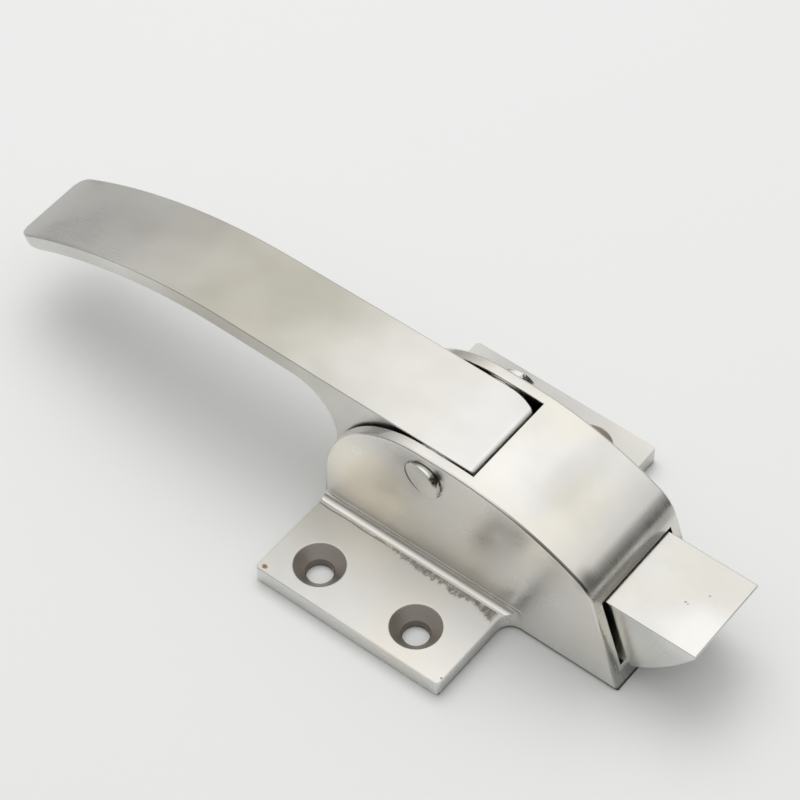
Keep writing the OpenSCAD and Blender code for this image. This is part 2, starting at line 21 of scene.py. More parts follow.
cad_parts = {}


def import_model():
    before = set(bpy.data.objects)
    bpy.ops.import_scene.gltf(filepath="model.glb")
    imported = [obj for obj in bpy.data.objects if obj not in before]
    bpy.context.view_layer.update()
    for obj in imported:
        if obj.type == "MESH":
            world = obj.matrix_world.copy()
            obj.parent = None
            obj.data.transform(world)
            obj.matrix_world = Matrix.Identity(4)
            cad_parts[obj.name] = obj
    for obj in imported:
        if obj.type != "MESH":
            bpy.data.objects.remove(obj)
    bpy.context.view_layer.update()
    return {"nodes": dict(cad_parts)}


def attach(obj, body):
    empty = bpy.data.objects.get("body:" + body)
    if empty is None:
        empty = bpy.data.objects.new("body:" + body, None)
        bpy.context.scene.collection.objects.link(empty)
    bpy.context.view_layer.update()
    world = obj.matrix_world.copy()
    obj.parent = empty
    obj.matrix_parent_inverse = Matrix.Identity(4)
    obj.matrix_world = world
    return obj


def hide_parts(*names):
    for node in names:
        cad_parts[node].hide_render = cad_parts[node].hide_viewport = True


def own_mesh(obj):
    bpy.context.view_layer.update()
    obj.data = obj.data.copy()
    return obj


LOG = logging.getLogger("latch")
MM = 0.001
ON_PLANE = 0.001 * MM  # reach within which a corner lies on a cut
ROUND_PROFILE = 0.5  # shape of a rounding, as Blender counts it
MIX_FACTOR, MIX_FIRST, MIX_SECOND, MIX_RESULT = 0, 6, 7, 2  # a Mix node's sockets for colours
Colour = tuple[float, float, float]
Point = tuple[float, float, float]
Value = Union[float, bpy.types.NodeSocket]


class Body(Enum):
    """The bodies that the pieces ride on."""

    BASE = "base"
    HANDLE = "handle"
    BOLT = "bolt"


class Slot(Enum):
    """The record's material slots."""

    HOUSING = "cast_stainless"
    HANDLE = "handle_stainless"
    BOLT = "bolt_stainless"
    TURNED = "turned_stainless"
    SPRING = "spring_wire"
    COVER = "cover_sheet"
    BRONZE = "bearing_bronze"
    WASHER = "washer_plastic"


class Grain(Enum):
    """The way the polishing marks run, as noise scales per metre along X, Y and Z."""

    ALONG = (60.0, 2600.0, 160.0)
    ACROSS = (2600.0, 60.0, 160.0)
    ROUND = (900.0, 900.0, 900.0)


class Tree:
    """A node tree, built up by short calls."""

    def __init__(self, tree: bpy.types.NodeTree) -> None:
        """Takes over a tree.

        Args:
            tree: The tree to build in.
        """
        self.tree = tree

    def feed(self, socket: bpy.types.NodeSocket, value: Any) -> None:
        """Links a socket to another one, or sets its constant.

        Args:
            socket: The input to fill.
            value: Another socket, a number or a tuple.
        """
        if isinstance(value, bpy.types.NodeSocket):
            self.tree.links.new(value, socket)
        else:
            socket.default_value = value

    def math(self, operation: str, first: Value, second: Value = 0.0) -> bpy.types.NodeSocket:
        """Adds a sum of two numbers, or another simple operation on them.

        Args:
            operation: Name of Blender's operation.
            first: First number.
            second: Second number.

        Returns:
            The result.
        """
        node = self.tree.nodes.new("ShaderNodeMath")
        node.operation = operation
        self.feed(node.inputs[0], first)
        self.feed(node.inputs[1], second)
        return node.outputs[0]

    def product(self, first: Value, second: Value, *others: Value) -> bpy.types.NodeSocket:
        """Multiplies numbers with each other.

        Args:
            first: First number.
            second: Second number.
            others: Further numbers.

        Returns:
            The product.
        """
        result = self.math("MULTIPLY", first, second)
        for other in others:
            result = self.math("MULTIPLY", result, other)
        return result

    def rest_of(self, share: Value) -> bpy.types.NodeSocket:
        """Returns what a share leaves of 1."""
        return self.math("SUBTRACT", 1.0, share)


class Graph(Tree):
    """A material's node tree around one Principled shader."""

    def __init__(self, name: str) -> None:
        """Starts the material.

        Args:
            name: Name of the material.
        """
        self.material = bpy.data.materials.new(name)
        self.material.use_nodes = True
        super().__init__(self.material.node_tree)
        self.tree.nodes.clear()
        output = self.tree.nodes.new("ShaderNodeOutputMaterial")
        self.shader = self.tree.nodes.new("ShaderNodeBsdfPrincipled")
        self.tree.links.new(self.shader.outputs["BSDF"], output.inputs["Surface"])

    @cached_property
    def place(self) -> bpy.types.NodeSocket:
        """The Object coordinate, in metres."""
        return self.tree.nodes.new("ShaderNodeTexCoord").outputs["Object"]

    @cached_property
    def axes(self) -> tuple[bpy.types.NodeSocket, ...]:
        """Coordinates along the latch, across it and upwards, in metres."""
        node = self.tree.nodes.new("ShaderNodeSeparateXYZ")
        self.feed(node.inputs[0], self.place)
        return tuple(node.outputs)

    @property
    def x(self) -> bpy.types.NodeSocket:
        """The coordinate along the latch."""
        return self.axes[0]

    @property
    def y(self) -> bpy.types.NodeSocket:
        """The coordinate across the latch."""
        return self.axes[1]

    @property
    def z(self) -> bpy.types.NodeSocket:
        """The height."""
        return self.axes[2]

    @cached_property
    def side(self) -> bpy.types.NodeSocket:
        """The distance from the middle of the latch, to either side."""
        return self.math("ABSOLUTE", self.y)

    def stretch(self, scale: Point, shift: Point = (0.0, 0.0, 0.0)) -> bpy.types.NodeSocket:
        """Stretches and shifts the Object coordinate.

        Args:
            scale: Factor along each axis.
            shift: Added after the scaling.

        Returns:
            The mapped vector.
        """
        node = self.tree.nodes.new("ShaderNodeMapping")
        self.feed(node.inputs["Vector"], self.place)
        node.inputs["Scale"].default_value = scale
        node.inputs["Location"].default_value = shift
        return node.outputs["Vector"]

    def noise(self, vector: bpy.types.NodeSocket, scale: float, detail: float = 2.0,
              rough: float = 0.5) -> bpy.types.NodeSocket:
        """Adds a noise.

        Args:
            vector: Where it is read.
            scale: Cycles per unit of the vector.
            detail: Number of finer layers.
            rough: Weight of the finer layers.

        Returns:
            The noise, from 0 to 1.
        """
        node = self.tree.nodes.new("ShaderNodeTexNoise")
        self.feed(node.inputs["Vector"], vector)
        node.inputs["Scale"].default_value = scale
        node.inputs["Detail"].default_value = detail
        node.inputs["Roughness"].default_value = rough
        return node.outputs[0]

    def ramp(self, value: Value, low: float, high: float, start: float = 0.0,
             end: float = 1.0) -> bpy.types.NodeSocket:
        """Maps a number smoothly from one range to another and holds it there.

        Args:
            value: The number.
            low: Its value at the start.
            high: Its value at the end.
            start: The result at low.
            end: The result at high.

        Returns:
            The mapped number.
        """
        node = self.tree.nodes.new("ShaderNodeMapRange")
        node.interpolation_type = "SMOOTHSTEP"
        self.feed(node.inputs["Value"], value)
        for name, number in (("From Min", low), ("From Max", high), ("To Min", start), ("To Max", end)):
            node.inputs[name].default_value = number
        return node.outputs["Result"]

    def step(self, length: Value, low: float, high: float, start: float = 0.0,
             end: float = 1.0) -> bpy.types.NodeSocket:
        """Maps a length smoothly from one range to another and holds it there.

        Args:
            length: The length.
            low: Its value at the start, in millimetres.
            high: Its value at the end, in millimetres.
            start: The result at low.
            end: The result at high.

        Returns:
            The mapped number.
        """
        return self.ramp(length, low * MM, high * MM, start, end)

    def sway(self, noise: Value, low: float, high: float, reach: float) -> bpy.types.NodeSocket:
        """Turns a noise into a length that sways to both sides of 0.

        Args:
            noise: The noise.
            low: Its value at the lower end.
            high: Its value at the upper end.
            reach: How far it sways, in millimetres.

        Returns:
            The length.
        """
        return self.ramp(noise, low, high, -reach * MM, reach * MM)

    def between(self, length: Value, low: float, high: float, soft: float) -> bpy.types.NodeSocket:
        """Masks a stretch of a length.

        Args:
            length: The length.
            low: Where the stretch starts, in millimetres.
            high: Where it ends.
            soft: Half the length of the soft step at each end.

        Returns:
            1 inside and 0 outside.
        """
        return self.product(self.step(length, low - soft, low + soft),
                            self.step(length, high - soft, high + soft, 1.0, 0.0))

    def gap_to(self, point: Point, size: Point = (1.0, 1.0, 1.0)) -> bpy.types.NodeSocket:
        """Measures the distance from a point, in metres.

        Args:
            point: The point, in millimetres.
            size: Weight of each axis in the distance.

        Returns:
            The distance.
        """
        shift = tuple(-c * MM * s for c, s in zip(point, size))
        node = self.tree.nodes.new("ShaderNodeVectorMath")
        node.operation = "LENGTH"
        self.feed(node.inputs[0], self.stretch(size, shift))
        return node.outputs["Value"]

    def blend(self, factor: Value, first: Any, second: Any, way: str = "MIX") -> bpy.types.NodeSocket:
        """Mixes two colours.

        Args:
            factor: Share of the second one.
            first: Colour at 0.
            second: Colour at 1, or what the first one is multiplied by.
            way: Name of Blender's way of mixing.

        Returns:
            The mixed colour.
        """
        node = self.tree.nodes.new("ShaderNodeMix")
        node.data_type = "RGBA"
        node.blend_type = way
        self.feed(node.inputs[MIX_FACTOR], factor)
        for index, colour in ((MIX_FIRST, first), (MIX_SECOND, second)):
            self.feed(node.inputs[index],
                      colour if isinstance(colour, bpy.types.NodeSocket) else (*colour, 1.0))
        return node.outputs[MIX_RESULT]

    def shade(self, factor: Value, colour: Any, tint: Colour) -> bpy.types.NodeSocket:
        """Returns a colour multiplied by a tint, which is over 1 to lighten it."""
        return self.blend(factor, colour, tint, "MULTIPLY")

    def bump(self, height: bpy.types.NodeSocket, strength: float, depth: float,
             under: Optional[bpy.types.NodeSocket] = None) -> bpy.types.NodeSocket:
        """Turns a height into a normal.

        Args:
            height: The height, from 0 to 1.
            strength: Share of the effect.
            depth: Depth of the relief in millimetres.
            under: A coarser normal to build on.

        Returns:
            The normal.
        """
        node = self.tree.nodes.new("ShaderNodeBump")
        node.inputs["Strength"].default_value = strength
        node.inputs["Distance"].default_value = depth * MM
        self.feed(node.inputs["Height"], height)
        if under is not None:
            self.feed(node.inputs["Normal"], under)
        return node.outputs["Normal"]


@dataclass(frozen=True)
class Spot:
    """A small spot of colour on a surface; most are real marks, two are painted shade.

    Attributes:
        place: Its middle, in millimetres.
        radius: Its radius, in millimetres.
        tint: Its colour.
        rough: Its roughness.
        core: Share of the radius in which it is full.
        fray: Share of the radius by which its border frays.
        fray_scale: Cycles of the fraying per metre.
    """

    place: Point
    radius: float
    tint: Colour
    rough: float = 0.6
    core: float = 0.55
    fray: float = 0.35
    fray_scale: float = 2200.0

    def mask(self, graph: Graph) -> bpy.types.NodeSocket:
        """Masks the mark.

        Args:
            graph: The material's tree.

        Returns:
            1 at its middle and 0 outside.
        """
        border = graph.noise(graph.place, self.fray_scale)
        away = graph.math("ADD", graph.gap_to(self.place),
                          graph.sway(border, 0.2, 0.8, self.fray * self.radius))
        return graph.step(away, self.core * self.radius, self.radius, 1.0, 0.0)


@dataclass(frozen=True)
class ToneAndShadingPatch:
    """A soft patch that multiplies the colour: some are polish tone, some are painted light and painted
    shade.

    Attributes:
        place: Its middle, in millimetres.
        reach: Its half sizes along the axes, in millimetres.
        tint: What it multiplies the colour by.
        rough: What it adds to the roughness.
        core: Share of its reach in which it is full.
        fray: Share of its reach by which its border frays.
    """

    place: Point
    reach: Point
    tint: Colour
    rough: float = 0.0
    core: float = 0.15
    fray: float = 0.25

    def mask(self, graph: Graph, patch: bpy.types.NodeSocket) -> bpy.types.NodeSocket:
        """Masks the patch.

        Args:
            graph: The material's tree.
            patch: A slow noise that frays the border.

        Returns:
            1 at its middle and 0 outside.
        """
        weights = tuple(1.0 / size for size in self.reach)
        away = graph.math("ADD", graph.gap_to(self.place, weights), graph.sway(patch, 0.2, 0.8, self.fray))
        return graph.step(away, self.core, 1.0, 1.0, 0.0)


@dataclass(frozen=True)
class Steel:
    """A satin steel finish with patches of polish tone and of painted light and shade, fine marks and a
    slightly wavy surface.

    Attributes:
        name: Name of the material.
        tint: Colour of the steel.
        warm: Its colour in the warm patches.
        dark: Colour that shows through in the polishing marks.
        rough: Roughness.
        rough_swing: How far the roughness swings from place to place.
        grain: The way the polishing marks run.
        grain_depth: Depth of the marks, in millimetres.
        wave_size: Length of the surface's waves, in millimetres.
        wave_depth: Depth of the waves, in millimetres.
        swing_size: Size of the places between which the roughness swings, in millimetres.
        patch_size: Size of the warm patches, in millimetres.
        patch_shift: Shift that sets the warm patches apart from the other noises.
        spots: Small marks, and small patches of painted shade.
        tone_and_shading_patches: Patches of polish tone, and of painted light and painted shade.
    """

    name: str
    tint: Colour = (0.755, 0.745, 0.72)
    warm: Colour = (0.75, 0.725, 0.67)
    dark: Colour = (0.35, 0.34, 0.33)
    rough: float = 0.26
    rough_swing: float = 0.06
    grain: Grain = Grain.ALONG
    grain_depth: float = 0.0004
    wave_size: float = 9.0
    wave_depth: float = 0.05
    swing_size: float = 14.0
    patch_size: float = 26.0
    patch_shift: Point = (0.31, 0.17, 0.07)
    spots: tuple[Spot, ...] = ()
    tone_and_shading_patches: tuple[ToneAndShadingPatch, ...] = ()

    def surface(self, graph: Graph) -> tuple[Any, Any, Any]:
        """Builds the colour, roughness and normal that all steels share.

        Args:
            graph: The material's tree.

        Returns:
            The sockets of colour, roughness and normal.
        """
        swing = graph.noise(graph.place, 1.0 / (self.swing_size * MM), 3.0, 0.55)
        patch = graph.noise(graph.stretch((1.0, 1.0, 1.0), self.patch_shift), 1.0 / (self.patch_size * MM))
        marks = graph.noise(graph.stretch(self.grain.value), 1.0, 2.0, 0.6)
        wave = graph.noise(graph.place, 1.0 / (self.wave_size * MM), 1.0)
        colour = graph.blend(graph.ramp(patch, 0.40, 0.66), self.tint, self.warm)
        colour = graph.blend(graph.ramp(marks, 0.25, 0.75, 0.03, -0.02), colour, self.dark)
        rough = graph.ramp(swing, 0.30, 0.70, self.rough - self.rough_swing, self.rough + self.rough_swing)
        rough = graph.math("ADD", rough, graph.ramp(marks, 0.2, 0.8, -0.02, 0.02))
        normal = graph.bump(wave, 1.0, self.wave_depth)
        normal = graph.bump(marks, 1.0, self.grain_depth, normal)
        for cloud in self.tone_and_shading_patches:
            mask = cloud.mask(graph, patch)
            colour = graph.shade(mask, colour, cloud.tint)
            rough = graph.math("ADD", rough, graph.product(mask, cloud.rough))
        for spot in self.spots:
            mask = spot.mask(graph)
            colour = graph.blend(mask, colour, spot.tint)
            rough = graph.math("MAXIMUM", rough, graph.product(mask, spot.rough))
        return colour, rough, normal

    def finish(self, graph: Graph, colour: Any, rough: Any, normal: Any,
               metal: Value = 1.0) -> bpy.types.Material:
        """Feeds the shader.

        Args:
            graph: The material's tree.
            colour: Base colour.
            rough: Roughness.
            normal: Normal.
            metal: Share of metal, less where a coarse ground face scatters the light.

        Returns:
            The finished material.
        """
        graph.feed(graph.shader.inputs["Metallic"], metal)
        graph.feed(graph.shader.inputs["Base Color"], colour)
        graph.feed(graph.shader.inputs["Roughness"], rough)
        graph.feed(graph.shader.inputs["Normal"], normal)
        return graph.material

    def material(self) -> bpy.types.Material:
        """Returns the material of this finish."""
        graph = Graph(self.name)
        return self.finish(graph, *self.surface(graph))


@dataclass(frozen=True)
class FlangePlan:
    """Where the two ground flanges lie, in millimetres.

    Attributes:
        foot_y: Their inner edge, at the foot of each cheek.
        rear: Their rear end.
        front: Their front end.
        top: Their height.
    """

    foot_y: float = 18.5
    rear: float = -25.5
    front: float = 27.5
    top: float = 5.0


@dataclass(frozen=True)
class TornTrack:
    """The torn track beside the foot of each cheek: a thin line, ragged patches and a smeared wedge.

    Attributes:
        plan: Where the flanges lie.
        tint: Colour of the torn steel.
        rough: Its roughness.
        depth: Its depth, in millimetres.
        fine: Noise scales of the fine tears, per metre along X, Y and Z.
        coarse: Noise scales of the coarse tears.
        drift: Noise scales of the slow drift in width.
        drift_shift: Shift that sets the drift apart from the other noises.
        line_l: Length of the line, from the rear end.
        line_at: Where the line lies, outwards from the foot.
        line_sway: How far the line sways.
        patch_from: Where the patches start, ahead of the rear end.
        patch_to: Where they end, behind the front end.
        patch_w: Least and greatest width of the patches, before their growth.
        patch_growth: Growth of the patches at the rear and at the front.
        growth_in: How far from either end the growth starts and stops.
        fine_tear: How far the fine tears reach.
        coarse_tear: How far the coarse tears reach.
        wedge_l: Length of the wedge.
        wedge_end: How far short of the front end it stops.
        wedge_w: Its width at its tip and past the front end.
        wedge_x: Where those two widths hold, ahead of the front end.
        wedge_tear: How far the wedge's border is torn.
    """

    plan: FlangePlan = FlangePlan()
    tint: Colour = (0.33, 0.315, 0.29)
    rough: float = 0.5
    depth: float = 0.06
    fine: Point = (2000.0, 1100.0, 300.0)
    coarse: Point = (900.0, 260.0, 300.0)
    drift: Point = (150.0, 40.0, 40.0)
    drift_shift: Point = (0.4, 0.0, 0.0)
    line_l: float = 21.0
    line_at: tuple[float, float] = (0.42, 0.78)
    line_sway: float = 0.12
    patch_from: float = 11.0
    patch_to: float = 7.0
    patch_w: tuple[float, float] = (0.3, 0.95)
    patch_growth: tuple[float, float] = (0.6, 2.6)
    growth_in: float = 12.0
    fine_tear: float = 0.45
    coarse_tear: float = 0.6
    wedge_l: float = 14.0
    wedge_end: float = 0.9
    wedge_w: tuple[float, float] = (0.3, 4.4)
    wedge_x: tuple[float, float] = (-15.0, 7.0)
    wedge_tear: float = 0.6

    def mask(self, graph: Graph) -> bpy.types.NodeSocket:
        """Masks the whole track on the flanges' tops.

        Args:
            graph: The material's tree.

        Returns:
            How strong the track is.
        """
        out = graph.math("SUBTRACT", graph.side, self.plan.foot_y * MM)
        fine = graph.noise(graph.stretch(self.fine), 1.0, 5.0, 0.75)
        coarse = graph.noise(graph.stretch(self.coarse), 1.0, 3.0, 0.7)
        drift = graph.noise(graph.stretch(self.drift, self.drift_shift), 1.0, 2.0, 0.6)
        marks = graph.math("MAXIMUM", self.patches(graph, out, (fine, coarse, drift)),
                           self.wedge(graph, out, (fine, coarse)))
        marks = graph.math("MAXIMUM", marks, self.line(graph, out, drift))
        level = graph.between(graph.z, self.plan.top - 0.3, self.plan.top + 0.1, 0.1)
        return graph.product(marks, level, graph.step(out, 0.05, 0.3))

    def line(self, graph: Graph, out: Value, drift: Value) -> bpy.types.NodeSocket:
        """Masks the thin line at the rear.

        Args:
            graph: The material's tree.
            out: Distance outwards from the foot.
            drift: The slow noise.

        Returns:
            1 on the line.
        """
        swayed = graph.math("ADD", out, graph.sway(drift, 0.3, 0.7, self.line_sway))
        return graph.product(graph.between(swayed, *self.line_at, 0.12),
                             graph.between(graph.x, self.plan.rear, self.plan.rear + self.line_l, 2.5))

    def patches(self, graph: Graph, out: Value, noises: tuple[Value, ...]) -> bpy.types.NodeSocket:
        """Masks the ragged patches, which get wider towards the front.

        Args:
            graph: The material's tree.
            out: Distance outwards from the foot.
            noises: The fine, coarse and slow noises.

        Returns:
            How strong the patches are.
        """
        fine, coarse, drift = noises
        torn = graph.math("ADD", out, graph.sway(fine, 0.25, 0.75, self.fine_tear))
        torn = graph.math("ADD", torn, graph.sway(coarse, 0.3, 0.7, self.coarse_tear))
        growth = graph.step(graph.x, self.plan.rear + self.growth_in, self.plan.front - self.growth_in,
                            *self.patch_growth)
        width = graph.product(growth, graph.ramp(drift, 0.35, 0.65, *(w * MM for w in self.patch_w)))
        return graph.product(graph.step(graph.math("SUBTRACT", width, torn), -0.1, 0.15),
                             graph.between(graph.x, self.plan.rear + self.patch_from,
                                           self.plan.front - self.patch_to, 3.0),
                             graph.ramp(fine, 0.36, 0.56, 0.25, 0.95))

    def wedge(self, graph: Graph, out: Value, noises: tuple[Value, ...]) -> bpy.types.NodeSocket:
        """Masks the smeared wedge at the front.

        Args:
            graph: The material's tree.
            out: Distance outwards from the foot.
            noises: The fine and coarse noises.

        Returns:
            How strong the wedge is.
        """
        fine, coarse = noises
        low, high = (self.plan.front + place for place in self.wedge_x)
        width = graph.step(graph.x, low, high, *(w * MM for w in self.wedge_w))
        torn = graph.math("ADD", out, graph.sway(fine, 0.25, 0.75, self.wedge_tear))
        return graph.product(graph.step(graph.math("SUBTRACT", width, torn), -0.3, 0.6),
                             graph.ramp(coarse, 0.3, 0.6, 0.45, 1.0),
                             graph.between(graph.x, self.plan.front - self.wedge_l,
                                           self.plan.front - self.wedge_end, 0.3))


@dataclass(frozen=True)
class GroundSteel(Steel):
    """The housing's steel: polished, with ground flanges, painted shade inside, at the foot and along a rim,
    and painted light on the flanges' fronts.

    Attributes:
        plan: Where the flanges lie.
        track: The torn track on them.
        flange_rough: What the grinding adds to the roughness.
        flange_scatter: Share of the light that the flanges scatter at their front.
        rear_scatter: Share of that scatter at their rear.
        flange_rear: Tint of the flanges' rear.
        flange_front_grind_and_light: Tint of their front, over 1: partly their ground tone, partly painted
            light.
        end_shade_tint: Painted shade on the lower part of their front ends.
        cheek_from: Where the cheeks lie, from the middle of the latch.
        cheek_rough: What the cheeks' polish adds to the roughness.
        foot_half: Half the housing's width at its foot.
        cheek_lean: How far the cheeks lean in per unit of height.
        rim_wide: Width of the band of painted shade beside the slope.
        rim_from: Where the painted shade starts.
        rim_full: Where it is full.
        rim_end: Where it ends.
        rim_faint: How strong it is at its start.
        rim_shade_tint: Colour of the painted shade.
        slot_half: Half the width of the handle's slot.
        slot_front: Front end of the slot.
        slot_top: Height up to which the slot is dark.
        window_low: Lower edge of the bolt's window.
        window_top: Upper edge of the window.
        window_from: Where the window's walls start.
        inside_shade_tint: Painted shade inside the slot and the window.
        foot_shade_top: Height of the painted shade at the front of the foot.
        foot_shade_tint: Colour of that painted shade.
    """

    plan: FlangePlan = FlangePlan()
    track: TornTrack = TornTrack()
    flange_rough: float = 0.18
    flange_scatter: float = 0.82
    rear_scatter: float = 0.43
    flange_rear: Colour = (0.96, 0.96, 0.97)
    flange_front_grind_and_light: Colour = (1.27, 1.265, 1.26)
    end_shade_tint: Colour = (0.8, 0.8, 0.8)
    cheek_from: float = 15.8
    cheek_rough: float = 0.06
    foot_half: float = 16.5
    cheek_lean: float = 0.0122
    rim_wide: float = 0.7
    rim_from: float = 16.0
    rim_full: float = 36.0
    rim_end: float = 49.0
    rim_faint: float = 0.15
    rim_shade_tint: Colour = (0.26, 0.25, 0.24)
    slot_half: float = 13.1
    slot_front: float = 14.2
    slot_top: float = 40.3
    window_low: float = 5.3
    window_top: float = 24.1
    window_from: float = 31.0
    inside_shade_tint: Colour = (0.22, 0.21, 0.20)
    foot_shade_top: float = 1.1
    foot_shade_tint: Colour = (0.14, 0.135, 0.13)

    def flange(self, graph: Graph) -> bpy.types.NodeSocket:
        """Returns a mask of the flanges' tops."""
        return graph.product(graph.step(graph.side, self.plan.foot_y - 0.3, self.plan.foot_y),
                             graph.step(graph.z, self.plan.top - 0.5, self.plan.top - 0.2))

    def front_end(self, graph: Graph) -> bpy.types.NodeSocket:
        """Returns a mask of the lower part of the flanges' front ends, where shade is painted."""
        return graph.product(graph.step(graph.x, self.plan.front - 0.6, self.plan.front - 0.1),
                             graph.step(graph.side, self.plan.foot_y + 1.0, self.plan.foot_y + 3.0),
                             graph.step(graph.z, self.plan.top - 3.0, self.plan.top - 0.3, 1.0, 0.0))

    def cheek(self, graph: Graph) -> bpy.types.NodeSocket:
        """Returns a mask of the cheeks above the fillets."""
        return graph.product(graph.step(graph.side, self.cheek_from - 0.2, self.cheek_from),
                             graph.step(graph.z, self.plan.top + 1.5, self.plan.top + 3.0))

    def inside(self, graph: Graph) -> bpy.types.NodeSocket:
        """Masks the walls inside the slot and the window, which take painted shade.

        Args:
            graph: The material's tree.

        Returns:
            1 on those walls.
        """
        inner = graph.step(graph.side, self.slot_half, self.slot_half + 0.15, 1.0, 0.0)
        slot = graph.product(graph.between(graph.x, self.plan.rear + 0.5, self.slot_front, 0.2),
                             graph.step(graph.z, self.slot_top - 0.4, self.slot_top, 1.0, 0.0))
        window = graph.product(graph.step(graph.x, self.window_from - 1.0, self.window_from),
                               graph.between(graph.z, self.window_low + 0.2, self.window_top - 0.2, 0.1))
        return graph.product(inner, graph.math("MAXIMUM", slot, window))

    def foot_shade(self, graph: Graph) -> bpy.types.NodeSocket:
        """Returns a mask of the painted shade at the foot, ahead of the flanges."""
        return graph.product(graph.step(graph.z, self.foot_shade_top - 0.6, self.foot_shade_top, 1.0, 0.0),
                             graph.step(graph.x, self.plan.front - 0.4, self.plan.front - 0.1))

    def rim(self, graph: Graph) -> bpy.types.NodeSocket:
        """Masks the painted shade on the rim between the slope and the near cheek.

        Args:
            graph: The material's tree.

        Returns:
            How strong the painted shade is, more towards the front.
        """
        cheek = graph.math("SUBTRACT", self.foot_half * MM, graph.product(graph.z, self.cheek_lean))
        return graph.product(graph.between(graph.math("ADD", cheek, graph.y), 0.08, self.rim_wide, 0.05),
                             graph.step(graph.x, self.rim_from, self.rim_full, self.rim_faint, 1.0),
                             graph.step(graph.x, self.rim_end - 1.5, self.rim_end, 1.0, 0.0))

    def material(self) -> bpy.types.Material:
        """Returns the material of this finish."""
        graph = Graph(self.name)
        colour, rough, normal = self.surface(graph)
        flange, worn = self.flange(graph), self.track.mask(graph)
        along = graph.step(graph.x, self.plan.rear + 4.0, self.plan.front - 6.0)
        # The flanges' fronts are lifted above the steel's colour, partly their ground tone, partly painted
        # light; the other tints below are painted shade.
        for mask, tint in ((graph.product(flange, graph.rest_of(along)), self.flange_rear),
                           (graph.product(flange, along), self.flange_front_grind_and_light),
                           (self.front_end(graph), self.end_shade_tint),
                           (self.inside(graph), self.inside_shade_tint),
                           (self.foot_shade(graph), self.foot_shade_tint),
                           (self.rim(graph), self.rim_shade_tint)):
            colour = graph.shade(mask, colour, tint)
        colour = graph.blend(worn, colour, self.track.tint)
        rough = graph.math("ADD", rough, graph.product(flange, self.flange_rough))
        rough = graph.math("ADD", rough, graph.product(self.cheek(graph), self.cheek_rough))
        rough = graph.math("MAXIMUM", rough, graph.product(worn, self.track.rough))
        normal = graph.bump(graph.product(worn, -1.0), 1.0, self.track.depth, normal)
        scatter = graph.product(flange, graph.rest_of(worn), graph.ramp(
            along, 0.0, 1.0, self.rear_scatter * self.flange_scatter, self.flange_scatter))
        return self.finish(graph, colour, rough, normal, graph.rest_of(scatter))


@dataclass(frozen=True)
class BoredSteel(Steel):
    """Turned steel of the countersinks, with rings around each mounting hole and painted shade inside the
    bores.

    Attributes:
        pitch_x: Distance of the holes along the latch, in millimetres.
        pitch_y: Distance of the holes across it.
        ring: Distance of the turned rings.
        ring_depth: Depth of the rings.
        bore_r: Radius of the bores.
        bore_shade_tint: Painted shade inside the bores.
    """

    pitch_x: float = 28.0
    pitch_y: float = 66.0
    ring: float = 0.45
    ring_depth: float = 0.01
    bore_r: float = 3.3
    bore_shade_tint: Colour = (0.45, 0.43, 0.42)

    def material(self) -> bpy.types.Material:
        """Returns the material of this finish."""
        graph = Graph(self.name)
        colour, rough, normal = self.surface(graph)
        dx = graph.math("SUBTRACT", graph.math("ABSOLUTE", graph.x), self.pitch_x * MM / 2)
        dy = graph.math("SUBTRACT", graph.side, self.pitch_y * MM / 2)
        radius = graph.math("SQRT", graph.math("ADD", graph.product(dx, dx), graph.product(dy, dy)))
        rings = graph.math("SINE", graph.product(radius, 2 * math.pi / (self.ring * MM)))
        bore = graph.step(radius, self.bore_r + 0.1, self.bore_r + 0.3, 1.0, 0.0)
        colour = graph.shade(bore, colour, self.bore_shade_tint)
        return self.finish(graph, colour, rough, graph.bump(rings, 0.5, self.ring_depth, normal))


@dataclass(frozen=True)
class Plain:
    """A smooth finish for the hidden pieces: steel, wire, bronze or plastic.

    Attributes:
        name: Name of the material.
        tint: Colour.
        shade: Its colour in the darker clouds.
        metal: Share of metal.
        rough: Roughness.
        cloud_size: Size of the clouds, in millimetres.
        grit_scale: Cycles of the fine grit per metre.
        grit_depth: Depth of the grit, in millimetres.
    """

    name: str
    tint: Colour
    shade: Colour
    metal: float = 1.0
    rough: float = 0.32
    cloud_size: float = 4.0
    grit_scale: float = 2500.0
    grit_depth: float = 0.006

    def material(self) -> bpy.types.Material:
        """Returns the material of this finish."""
        graph = Graph(self.name)
        cloud = graph.noise(graph.place, 1.0 / (self.cloud_size * MM), 3.0, 0.6)
        grit = graph.noise(graph.place, self.grit_scale)
        graph.shader.inputs["Metallic"].default_value = self.metal
        graph.feed(graph.shader.inputs["Base Color"],
                   graph.blend(graph.ramp(cloud, 0.35, 0.7), self.tint, self.shade))
        graph.feed(graph.shader.inputs["Roughness"],
                   graph.ramp(cloud, 0.3, 0.7, self.rough - 0.06, self.rough + 0.08))
        graph.feed(graph.shader.inputs["Normal"], graph.bump(grit, 0.6, self.grit_depth))
        return graph.material


@dataclass(frozen=True)
class EdgeRule:
    """The rounding of the sharp edges whose middle lies in a box.

    Attributes:
        radius: Radius in millimetres, 0 to leave the edge sharp.
        low: Lowest corner of the box, in millimetres.
        high: Highest corner of the box, in millimetres.
        both_sides: True where the box is mirrored to the other side of the latch.
    """

    radius: float
    low: Point
    high: Point
    both_sides: bool = True

    def holds(self, middle: Vector) -> bool:
        """Tells whether an edge belongs to this rule.

        Args:
            middle: Middle of the edge, in millimetres.

        Returns:
            True if it lies in the box.
        """
        y = abs(middle.y) if self.both_sides else middle.y
        point = (middle.x, y, middle.z)
        return all(a <= c <= b for a, c, b in zip(self.low, point, self.high))


